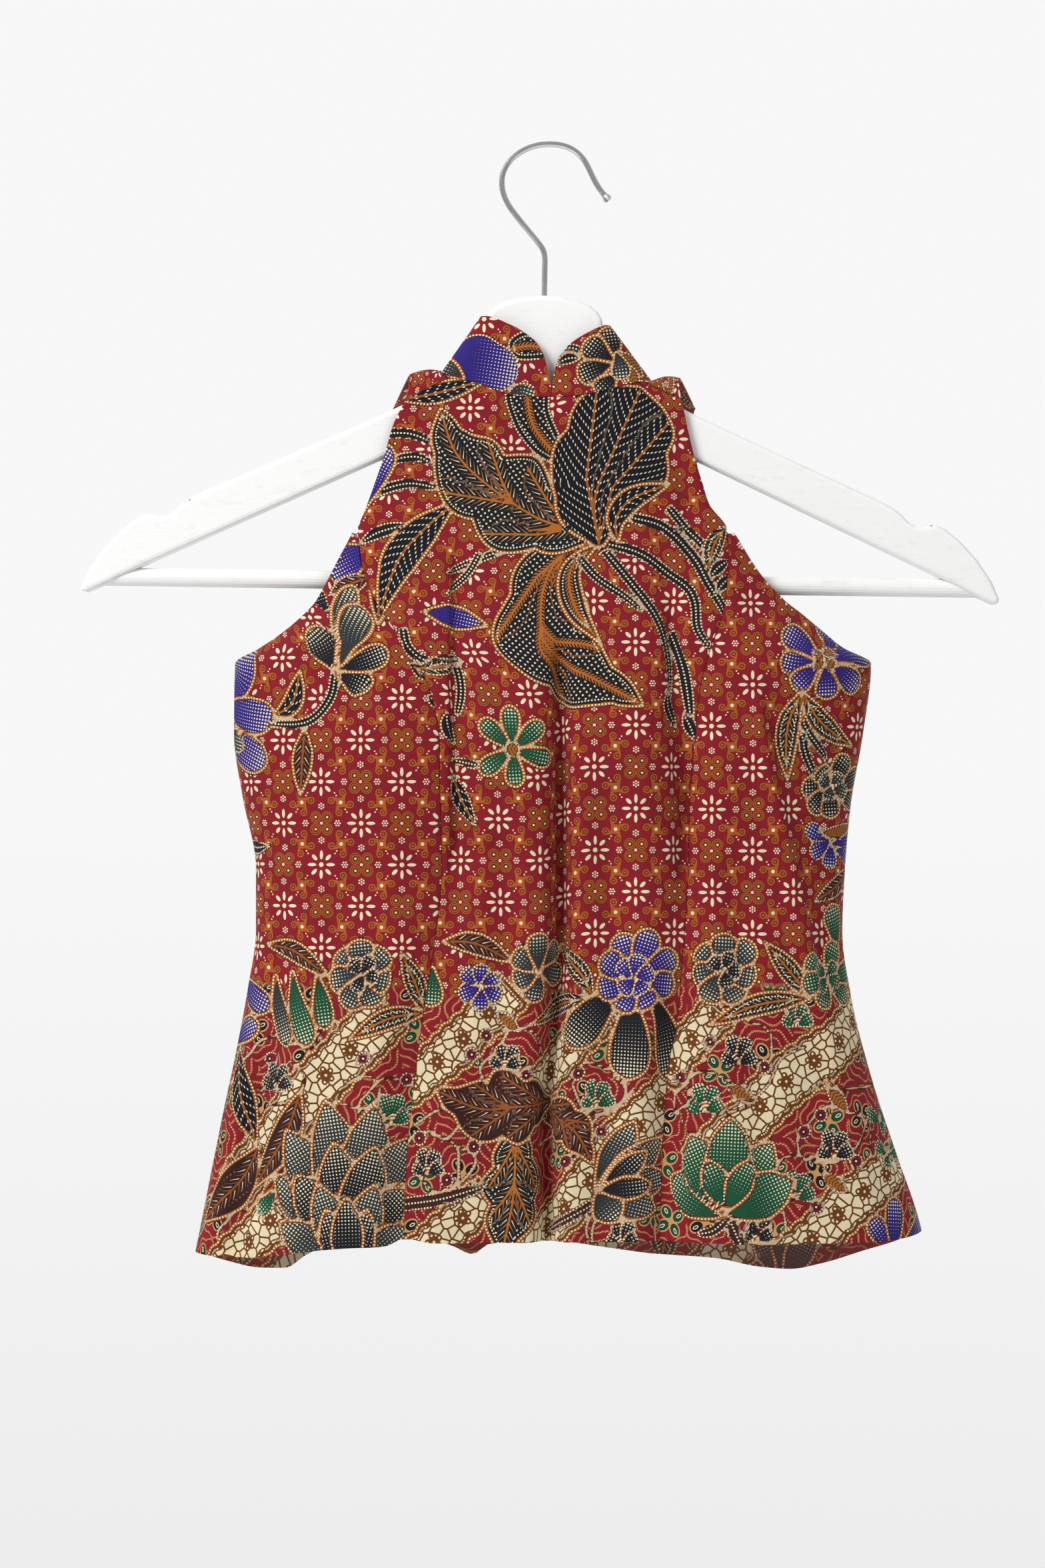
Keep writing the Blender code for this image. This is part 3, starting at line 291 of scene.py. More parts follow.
# Hanging folds: how deep each one's line lies at each level. A negative depth is a ridge
FRONT_FOLDS = [
    Fold("left princess valley", 9.0, [
        Station(-540, -69.5, 6.5), Station(-440, -64, 5.0), Station(-382, -55.4, 3.2),
        Station(-340, -51.6, 2.4), Station(-270, -54.8, 1.6), Station(-225, -78, 0.0)]),
    Fold("left tuck", 7.0, [
        Station(-430, -46, 0.0), Station(-385, -45, 2.0), Station(-330, -43, 3.2),
        Station(-260, -43.5, 3.2), Station(-215, -44.5, 2.0), Station(-172, -47, 0.0)]),
    Fold("middle fold", 5.4, [
        Station(-540, -1.5, 9.5), Station(-460, -2.6, 9.0), Station(-415, 1.5, 8.4),
        Station(-370, 4.4, 7.8), Station(-300, 4.2, 6.4), Station(-262, 4.2, 4.0),
        Station(-232, 4.2, 0.0)]),
    Fold("right princess valley", 8.5, [
        Station(-540, 50.2, 9.0), Station(-440, 54.4, 8.0), Station(-390, 61.2, 5.6),
        Station(-330, 64.4, 4.4), Station(-270, 68, 3.0), Station(-215, 83, 0.0)]),
    Fold("right tuck", 7.0, [
        Station(-350, 60, 0.0), Station(-300, 57.4, 2.4), Station(-255, 56.6, 3.2),
        Station(-205, 54.6, 2.4), Station(-160, 51, 0.0)]),
    Fold("right neck drag", 6.0, [
        Station(-262, 70, 0.0), Station(-222, 67, 2.0), Station(-180, 64.6, 2.2),
        Station(-138, 60, 0.0)]),
    Fold("left hip fold", 8.0, [
        Station(-540, -152, 7.0), Station(-495, -146, 7.0), Station(-440, -136, 5.5),
        Station(-400, -130, 3.4), Station(-355, -124, 0.0)]),
    Fold("left flare ridge", 15.0, [
        Station(-540, -110, -4.5), Station(-440, -104, -3.0), Station(-370, -96, 0.0)]),
    Fold("right crease", 7.0, [
        Station(-540, 158, -1.0), Station(-440, 136, -2.4), Station(-390, 122, -2.6),
        Station(-330, 110, -2.6), Station(-285, 100, -2.4), Station(-225, 98, 0.0)]),
    Fold("right flare ridge", 18.0, [
        Station(-540, 92, -4.5), Station(-440, 92, -3.0), Station(-360, 92, 0.0)]),
    Fold("left bust ridge", 26.0, [
        Station(-345, -80, 0.0), Station(-280, -82, -2.6), Station(-230, -74, 0.0)]),
    Fold("right bust ridge", 24.0, [
        Station(-345, 36, 0.0), Station(-285, 34, -2.6), Station(-225, 30, 0.0)]),
]
BACK_FOLDS = [
    Fold("left lobe", 16.0, [
        Station(-545, -138, -6.5), Station(-480, -132, -4.0), Station(-400, -122, 0.0)]),
    Fold("left wave", 20.0, [
        Station(-545, -86, 3.0), Station(-470, -80, 2.0), Station(-390, -74, 0.0)]),
    Fold("left hem tab", 7.0, [
        Station(-545, -39, -4.0), Station(-490, -38, -2.4), Station(-430, -36, 0.0)]),
    Fold("right wave", 20.0, [
        Station(-545, 60, 3.0), Station(-470, 58, 2.0), Station(-390, 56, 0.0)]),
    Fold("right lobe", 22.0, [
        Station(-545, 112, -6.0), Station(-480, 108, -3.6), Station(-400, 104, 0.0)]),
    Fold("small of the back", 60.0, [
        Station(-440, 0, 0.0), Station(-350, 0, -2.4), Station(-280, 0, 0.0)]),
]

FRONT_HEM = [
    Point(-172, -527), Point(-150, -527.5), Point(-125, -524.5), Point(-100, -521.5),
    Point(-78, -520.6), Point(-69, -517.4), Point(-56, -519), Point(0, -518.6), Point(50, -518.4),
    Point(100, -519.4), Point(140, -519.5), Point(165, -518.8), Point(178, -517),
]
BACK_HEM = [
    Point(-172, -527.5), Point(-155, -533.5), Point(-140, -536.5), Point(-128, -536.8),
    Point(-118, -531), Point(-105, -526), Point(-60, -524), Point(-46, -527.4),
    Point(-38, -530.6), Point(-30, -526), Point(0, -524.5), Point(25, -527.5), Point(50, -531),
    Point(80, -533), Point(100, -536.5), Point(115, -537.5), Point(130, -535), Point(150, -529),
    Point(165, -524), Point(178, -517.5),
]

# The collar: half-widths by level, and the neck seam and top edge by share of the half-width
LEFT_COLLAR = Leaf(33.9, -81.3, 0.703, [
    Neck(0.0, -120.5, -115.0), Neck(0.03, -120.5, -107.6), Neck(0.07, -120.5, -101.4),
    Neck(0.11, -120.4, -97.6), Neck(0.17, -120.3, -94.3), Neck(0.28, -120.0, -90.8),
    Neck(0.42, -117.8, -87.6), Neck(0.57, -114.6, -85.3), Neck(0.74, -112.4, -83.0),
    Neck(0.89, -111.0, -81.6), Neck(0.97, -108.6, -81.3), Neck(1.0, -106.8, -81.3),
], -107.6, -82.4)
RIGHT_COLLAR = Leaf(28.6, -85.8, 0.745, [
    Neck(0.0, -120.5, -115.0), Neck(0.035, -120.5, -108.0), Neck(0.07, -120.4, -103.0),
    Neck(0.15, -120.2, -98.9), Neck(0.24, -119.6, -95.5), Neck(0.34, -118.9, -93.2),
    Neck(0.475, -117.4, -90.8), Neck(0.62, -115.8, -88.8), Neck(0.775, -113.9, -87.0),
    Neck(0.89, -113.0, -86.0), Neck(0.97, -112.2, -85.8), Neck(1.0, -111.6, -86.0),
], -110.4, -84.6)
COLLAR_FRONT_DEPTH = (9.6, 13.5)
COLLAR_BACK_DEPTH = (9.4, 11.0)
COLLAR_LEVELS = (-82.0, -120.0)
COLLAR_SQUARE = 9.0
CENTRE_BACK_BASE = -109.0
CENTRE_BACK_TOP = -84.0
NECK_FRONT_SHARE = 0.89
NECK_BACK_SHARE = 0.86
NECK_ROUNDS = 6

# The shoulder straps, which are part of the back and fold over the arms to the front
STRAP_DEPTH = 9.6
STRAP_CROWN = 1.4
Strap = namedtuple("Strap", "back_x back_z ridge_x ridge_z front_x front_z")
LEFT_STRAP = Strap(-76.3, -125.0, -67.6, -108.6, -69.4, -121.5)
RIGHT_STRAP = Strap(69.5, -124.5, 61.6, -110.4, 62.2, -121.5)

# The print. Each row is one drawn motif: what outline it has, how it is filled, its half-width, and
# the places its centreline or its outline runs through, seen from the front. Later rows lie on top.
Motif = namedtuple("Motif", "kind finish width points ribs", defaults=[()])
Flower = namedtuple("Flower", "finish base width tips kind", defaults=["petal"])
# A wavy line of dots round a small flower, between two directions in degrees
Cloud = namedtuple("Cloud", "x z radius start end")
CLOUD_STEPS = 16
CLOUD_SWELL = 0.16
CLOUD_WAVES = 2.6
LINE_WIDTH = 0.2
# Motifs narrower than this get a finer outline, by this much at each side
SMALL_WIDTH = 4.5
FINE_LINE = 0.42
# The small motifs that come again along the border
ROUND_LENGTH = 6
CLOVER_WIDTH = 3.8
CLOVER_TIPS = [(-8, 4), (-4, 13), (4, 12), (8, 4)]


def border_round(x, z, width=3.0):
    """A crimson round, from the left end of its centreline."""
    return Motif("round", "crimson", width, [(x, z), (x + ROUND_LENGTH, z)])


def border_clover(finish, x, z):
    """A flower of four petals, from the point where they meet."""
    return Flower(finish, (x, z), CLOVER_WIDTH, [(x + right, z + up) for right, up in CLOVER_TIPS])


def border_line(*places):
    """A thin line through these places."""
    return Motif("line", "", LINE_WIDTH, list(places))


# Half-widths along a motif, as shares of its length and of its greatest half-width
OUTLINES = {
    "leaf": [(0, 0.06), (0.14, 0.5), (0.32, 0.92), (0.48, 1.0), (0.7, 0.76), (0.88, 0.34), (1, 0.02)],
    "petal": [(0, 0.16), (0.2, 0.45), (0.45, 0.82), (0.7, 1.0), (0.86, 0.88), (0.95, 0.55), (1, 0.12)],
    "stem": [(0, 0.8), (0.1, 1.0), (0.6, 0.95), (0.85, 0.8), (0.95, 0.6), (0.98, 0.4), (1, 0.1)],
    "ribbon": [(0, 0.95), (0.1, 1.0), (0.3, 0.94), (0.5, 1.0), (0.7, 0.94), (0.9, 1.0), (1, 0.95)],
    "round": [(0, 0.1), (0.08, 0.55), (0.25, 0.87), (0.5, 1.0), (0.75, 0.87), (0.92, 0.55), (1, 0.1)],
    "point": [(0, 0.2), (0.25, 0.72), (0.5, 1.0), (0.75, 0.8), (0.9, 0.42), (0.97, 0.16), (1, 0.03)],
    "ovate": [(0, 0.08), (0.12, 0.4), (0.35, 0.84), (0.58, 1.0), (0.8, 0.86), (0.94, 0.5), (1, 0.04)],
    "lobed": [(0, 0.08), (0.15, 0.5), (0.35, 0.92), (0.5, 1.0), (0.72, 0.72), (0.9, 0.34), (1, 0.02)],
    "line": [(0, 1), (0.2, 1), (0.4, 1), (0.5, 1), (0.6, 1), (0.8, 1), (1, 1)],
}
OUTLINE_STEPS = 26
FINE_STEPS = 96
CLOSED_STEPS = 6
# How many lobes each side of a leaf has, and how deep they and a ribbon's scallops are
LOBES = {"lobed": 3.5, "ovate": 3.0}
LOBE_DEPTH = {"lobed": 0.17, "ovate": 0.07}
SCALLOP_PITCH = 7.5
SCALLOP_DEPTH = 1.5
RIB_SHARES = {"lobed": [(0.14, 0.36), (0.44, 0.64)], "ovate": [(0.03, 0.74)]}
RIB_REACH = 0.62
REACH = 3.2

# How a motif is filled: its wax-resist pattern, its dye, and the second colour drawn in it
DOTS, VEINS, FEATHER, FERN, SPINE, LACE, CELLS, BRANCH, EYE = range(1, 10)
Finish = namedtuple("Finish", "pattern dye second")
FINISHES = {
    "blue petal": Finish(DOTS, "#33257d", "#efe6cd"),
    "black petal": Finish(DOTS, "#202127", "#e9e4cb"),
    "green petal": Finish(DOTS, "#1c5238", "#cfdcae"),
    "grey petal": Finish(DOTS, "#34383a", "#d5d8c0"),
    "veined leaf": Finish(VEINS, "#191a21", "#a5602c"),
    "feather leaf": Finish(FEATHER, "#1f2024", "#b06a2c"),
    "brown leaf": Finish(BRANCH, "#3a2020", "#95552a"),
    "fern leaf": Finish(FERN, "#1f1f23", "#b5682c"),
    "dark stem": Finish(SPINE, "#211f22", "#e9e4cb"),
    "brown stem": Finish(SPINE, "#3f2521", "#d9b483"),
    "lace": Finish(LACE, "#eadcb6", "#6f4019"),
    "ochre cells": Finish(CELLS, "#a9662b", "#4c2a1c"),
    "crimson": Finish(EYE, "#7e1a2c", "#2c1c1c"),
}
MIDDLE_MOTIFS = [
    Cloud(-22, -436, 16, -70, 170),
    Cloud(-59, -487, 14, -40, 200),
    Cloud(20, -455, 15, -30, 210),
    Cloud(34, -519, 15, -20, 190),
    Motif("ribbon", "lace", 10, [(-74, -452), (-48, -432), (-18, -402)]),
    Motif("ribbon", "lace", 10, [(-74, -540), (-54, -522), (-28, -500)]),
    Motif("ribbon", "lace", 11, [(-14, -456), (4, -436), (26, -410)]),
    Motif("ribbon", "lace", 12, [(-16, -532), (12, -502), (40, -470), (66, -446)]),
    border_line((-66, -468), (-52, -460), (-44, -466), (-50, -474), (-58, -470)),
    border_line((-6, -478), (6, -470), (14, -476), (22, -464), (32, -458), (40, -450)),
    border_line((-20, -422), (-26, -432), (-34, -440), (-30, -446), (-14, -442)),
    border_line((10, -448), (16, -460), (28, -462), (36, -452), (30, -444)),
    border_line((40, -514), (30, -526), (20, -524), (22, -512), (34, -506)),
    border_line((-64, -492), (-54, -500), (-42, -494), (-36, -484), (-44, -478)),
    border_round(-34, -425),
    border_round(-41, -434),
    border_round(-15, -444),
    border_round(-66, -474, 3.2),
    border_round(-40, -478, 3.2),
    border_round(-53, -494, 3.2),
    border_round(10, -443),
    border_round(21, -471),
    border_round(4, -485),
    Flower("black petal", (-22, -440), 3.4, [(-29, -436), (-24, -429), (-17, -430), (-15, -437)]),
    Flower("black petal", (-59, -491), 3.6, [(-66, -487), (-62, -479), (-55, -480), (-52, -487)]),
    Flower("green petal", (22, -459), 3.6, [(15, -455), (19, -446), (26, -447), (30, -454)]),
    Flower("black petal", (34, -525), 3.4, [(27, -521), (31, -513), (38, -514), (41, -521)]),
    Motif("leaf", "ochre cells", 3.0, [(-26, -414), (-21, -418), (-15, -423)]),
    Motif("leaf", "veined leaf", 5.0, [(-72, -121), (-52, -117), (-30, -111)]),
    Motif("shape", "fern leaf", 0, [(-21, -116), (-18, -132), (-10, -144), (0, -151), (9, -155),
                                    (8, -146), (3, -136), (-1, -126), (-3, -116)],
          [[(-12, -116), (-8, -134), (8, -153)]]),
    Motif("stem", "dark stem", 2.0, [(12, -116), (14, -121), (16, -127)]),
    Motif("stem", "dark stem", 2.4, [(-82, -137), (-68, -137), (-57, -141)]),
    Motif("stem", "dark stem", 2.2, [(-86, -152), (-66, -148), (-56, -152)]),
    Motif("stem", "dark stem", 2.4, [(-92, -168), (-70, -161), (-54, -163)]),
    Motif("petal", "blue petal", 7.0, [(-92, -176), (-84, -156), (-77, -143)]),
    Motif("leaf", "dark stem", 3.0, [(-92, -190), (-82, -184), (-66, -180)]),
    Motif("leaf", "veined leaf", 8.5, [(-46, -170), (-62, -184), (-75, -202), (-83, -226)]),
    Motif("stem", "dark stem", 1.8, [(-18, -191), (-32, -196), (-50, -204)]),
    Motif("stem", "dark stem", 1.8, [(-34, -194), (-40, -204), (-50, -214)]),
    Motif("leaf", "blue petal", 5.5, [(-61, -222), (-46, -225), (-30, -229)]),
    Motif("stem", "dark stem", 2.4, [(-71, -230), (-68, -240), (-58, -246), (-44, -244)]),
    Motif("leaf", "feather leaf", 3.6, [(-66, -249), (-56, -249), (-42, -246)]),
    Motif("stem", "dark stem", 2.2, [(-46, -248), (-43, -260), (-45, -272)]),
    Motif("lobed", "fern leaf", 20, [(21, -188), (3, -197), (-5, -220), (4, -245), (44, -267)]),
    Motif("leaf", "fern leaf", 5.4, [(22, -190), (9, -203), (12, -221), (24, -238)]),
    Motif("stem", "dark stem", 2.0, [(13, -196), (22, -206), (34, -214), (44, -222)]),
    Motif("stem", "dark stem", 2.2, [(24, -191), (38, -208), (51, -226), (56, -245), (57, -266)]),
    Motif("leaf", "dark stem", 3.2, [(56, -260), (56, -268), (60, -278)]),
    Motif("stem", "dark stem", 2.4, [(24, -189), (42, -194), (56, -204), (67, -213), (70, -230), (78, -242)]),
    Motif("stem", "dark stem", 2.8, [(57, -232), (62, -246), (65, -260), (67, -274)]),
    Motif("leaf", "dark stem", 3.0, [(63, -271), (66, -276), (69, -284)]),
    Motif("stem", "dark stem", 2.6, [(38, -177), (54, -182), (68, -196), (76, -210), (85, -226)]),
    Motif("stem", "dark stem", 2.2, [(56, -172), (64, -182), (72, -190), (80, -202)]),
    Motif("leaf", "feather leaf", 4.4, [(84, -181), (78, -190), (75, -204)]),
    Motif("leaf", "dark stem", 3.0, [(76, -206), (80, -201), (86, -197)]),
    Motif("leaf", "dark stem", 3.0, [(79, -213), (83, -208), (88, -205)]),
    Motif("lobed", "feather leaf", 21, [(23, -187), (0, -180), (-26, -165), (-45, -147), (-53, -125)]),
    Motif("ovate", "veined leaf", 27, [(23, -191), (21, -168), (30, -145), (43, -115)]),
    Motif("leaf", "veined leaf", 5.6, [(32, -189), (31, -178), (39, -168), (57, -161)]),
    Motif("stem", "brown stem", 2.0, [(-19, -292), (-30, -296), (-48, -293)]),
    Motif("leaf", "dark stem", 3.6, [(-50, -270), (-49, -278), (-46, -286)]),
    Motif("leaf", "veined leaf", 4.2, [(-47, -300), (-43, -312), (-36, -325)]),
    Flower("green petal", (-18.5, -288), 4.6, [(-20, -267), (-4, -275), (0, -293), (-17, -306),
                                                (-34, -299), (-34, -274)]),
    Motif("round", "ochre cells", 3.2, [(-21.7, -288), (-15.3, -288)]),
    Motif("leaf", "brown leaf", 5.0, [(-52, -380), (-36, -381), (-18, -390)]),
    Motif("petal", "green petal", 6.0, [(-57, -392), (-58, -411)]),
    Flower("blue petal", (-34, -402), 4.2, [(-42, -393), (-33, -391), (-25, -397), (-24, -407),
                                             (-34, -413), (-44, -406)]),
    Motif("leaf", "feather leaf", 4.4, [(20, -407), (13, -394), (3, -380)]),
    Motif("leaf", "feather leaf", 4.4, [(20, -407), (5, -410), (-11, -420)]),
    Flower("grey petal", (-6, -394), 5.6, [(3, -381), (5, -396), (-9, -409), (-18, -399), (-18, -385),
                                            (-6, -376)]),
    Motif("petal", "black petal", 9.5, [(34, -404), (22, -413), (8, -430)]),
    Motif("petal", "black petal", 10.0, [(38, -404), (38, -424), (37, -446)]),
    Motif("petal", "black petal", 7.5, [(46, -404), (54, -420), (58, -447)]),
    Flower("blue petal", (40, -399), 6.6, [(33, -376), (48, -374), (60, -386), (59, -401), (47, -412),
                                            (32, -413), (22, -403), (24, -387)]),
    Flower("blue petal", (40, -398), 4.4, [(33, -389), (42, -386), (49, -394), (44, -405), (33, -404)]),
    Motif("lobed", "feather leaf", 14.0, [(-17, -466), (-18, -500), (-24, -534)]),
    Motif("lobed", "brown leaf", 9.0, [(-6, -456), (8, -468), (20, -486)]),
    Motif("lobed", "brown leaf", 15.5, [(0, -456), (-16, -459), (-34, -460), (-55, -451)]),
    Motif("stem", "brown stem", 3.0, [(-72, -506), (-52, -503), (-32, -497)]),
    Motif("stem", "brown stem", 2.6, [(30, -499), (16, -508), (-2, -518)]),
    Flower("grey petal", (22, -500), 8.0, [(40, -466), (53, -474), (57, -492), (50, -508), (32, -514)],
           "point"),
    Flower("black petal", (24, -499), 5.4, [(46, -480), (48, -496)], "point"),
]
LEFT_MOTIFS = [
    Cloud(-131, -445, 17, -60, 190),
    Cloud(-104, -440, 9, 150, 330),
    Cloud(-150, -540, 12, 20, 160),
    Motif("lobed", "veined leaf", 8.0, [(-153, -446), (-160, -470), (-166, -500)]),
    Motif("lobed", "feather leaf", 7.0, [(-158, -500), (-170, -520), (-176, -545)]),
    Cloud(-76, -461, 14, -20, 200),
    Cloud(-146, -522, 12, 20, 200),
    Motif("ribbon", "lace", 12, [(-152, -500), (-128, -466), (-104, -440), (-76, -412)]),
    Motif("ribbon", "lace", 11, [(-170, -552), (-150, -530), (-128, -508)]),
    Motif("ribbon", "lace", 11, [(-92, -548), (-74, -530), (-58, -512)]),
    border_line((-126, -436), (-118, -444), (-122, -454), (-134, -458), (-140, -450)),
    border_line((-98, -448), (-88, -444), (-82, -452), (-90, -460), (-104, -456)),
    border_line((-84, -470), (-76, -478), (-66, -472), (-64, -460)),
    border_round(-116, -427),
    border_round(-137, -436),
    border_round(-72, -446),
    border_round(-93, -436),
    Flower("black petal", (-131, -450), 3.6, [(-138, -446), (-134, -438), (-127, -439), (-124, -446)]),
    Flower("green petal", (-76, -467), 3.8, [(-84, -463), (-80, -453), (-72, -453), (-68, -462)]),
    Motif("leaf", "ochre cells", 3.0, [(-112, -412), (-107, -417), (-102, -424)]),
    Motif("petal", "blue petal", 9.0, [(-84, -192), (-94, -196), (-108, -203)]),
    Motif("leaf", "brown leaf", 4.0, [(-86, -206), (-94, -208), (-106, -214)]),
    Motif("petal", "black petal", 4.4, [(-105, -223), (-110, -218), (-114, -210)]),
    Motif("petal", "blue petal", 9.0, [(-158, -268), (-149, -256), (-141, -239)]),
    Motif("petal", "blue petal", 8.6, [(-162, -266), (-148, -271), (-132, -274)]),
    Motif("petal", "blue petal", 8.6, [(-164, -278), (-150, -286), (-136, -295)]),
    Motif("petal", "grey petal", 4.4, [(-160, -280), (-152, -283), (-147, -286)]),
    Motif("stem", "dark stem", 2.2, [(-103, -250), (-106, -264), (-117, -275), (-136, -276)]),
    Motif("leaf", "veined leaf", 4.8, [(-133, -272), (-124, -266), (-120, -250)]),
    Motif("leaf", "brown leaf", 5.0, [(-118, -278), (-119, -292), (-120, -310)]),
    Motif("petal", "black petal", 8.0, [(-103, -250), (-108, -240), (-116, -230)]),
    Motif("petal", "black petal", 6.6, [(-102, -252), (-91, -257), (-88, -260)]),
    Motif("petal", "black petal", 6.0, [(-102, -250), (-90, -246), (-78, -241)]),
    Motif("petal", "grey petal", 5.0, [(-103, -250), (-101, -230), (-94, -210)]),
    Motif("petal", "grey petal", 6.6, [(-101, -248), (-96, -234), (-90, -220)]),
    Motif("leaf", "veined leaf", 8.5, [(-46, -170), (-62, -184), (-75, -202), (-83, -228)]),
    Motif("stem", "dark stem", 2.4, [(-71, -230), (-68, -240), (-58, -246), (-44, -244)]),
    Motif("leaf", "feather leaf", 4.0, [(-68, -247), (-60, -251), (-46, -249)]),
    Motif("leaf", "dark stem", 3.0, [(-59, -262), (-55, -265), (-50, -266)]),
    Motif("leaf", "dark stem", 3.0, [(-148, -333), (-141, -335), (-134, -334)]),
    Motif("leaf", "brown leaf", 4.6, [(-136, -381), (-122, -385), (-106, -397)]),
    Motif("petal", "blue petal", 6.4, [(-152, -398), (-144, -404), (-134, -412)]),
    Motif("petal", "blue petal", 6.0, [(-154, -430), (-148, -424), (-140, -419)]),
    Motif("petal", "green petal", 6.0, [(-124, -394), (-122, -410), (-116, -430)]),
    Motif("petal", "green petal", 5.0, [(-112, -396), (-110, -408), (-108, -422)]),
    Motif("petal", "grey petal", 5.4, [(-132, -396), (-130, -412), (-126, -430)]),
    Motif("leaf", "feather leaf", 4.8, [(-60, -414), (-65, -400), (-72, -385)]),
    Motif("leaf", "feather leaf", 4.8, [(-60, -414), (-78, -417), (-97, -427)]),
    Flower("grey petal", (-90, -396), 6.4, [(-103, -386), (-106, -399), (-98, -412), (-84, -411),
                                             (-77, -399), (-79, -384), (-92, -379)]),
    Flower("black petal", (-90, -396), 3.6, [(-96, -389), (-86, -387), (-83, -397), (-94, -404)]),
    Motif("leaf", "veined leaf", 7.0, [(-149, -430), (-149, -452), (-141, -478)]),
    Motif("leaf", "brown leaf", 7.6, [(-120, -452), (-128, -474), (-142, -498)]),
    Motif("leaf", "brown leaf", 9.6, [(-140, -478), (-150, -496), (-166, -514)]),
    Motif("petal", "green petal", 4.4, [(-132, -500), (-140, -510)]),
    Flower("grey petal", (-97, -522), 12.0, [(-132, -492), (-127, -470), (-108, -456), (-84, -458),
                                              (-68, -474), (-62, -498)], "point"),
    Flower("black petal", (-97, -528), 11.0, [(-122, -492), (-104, -476), (-84, -478), (-70, -498)], "point"),
    Flower("grey petal", (-97, -538), 9.0, [(-130, -514), (-112, -496), (-84, -496), (-68, -516)], "point"),
    Flower("black petal", (-97, -542), 7.6, [(-108, -508), (-88, -508), (-98, -502)], "point"),
]
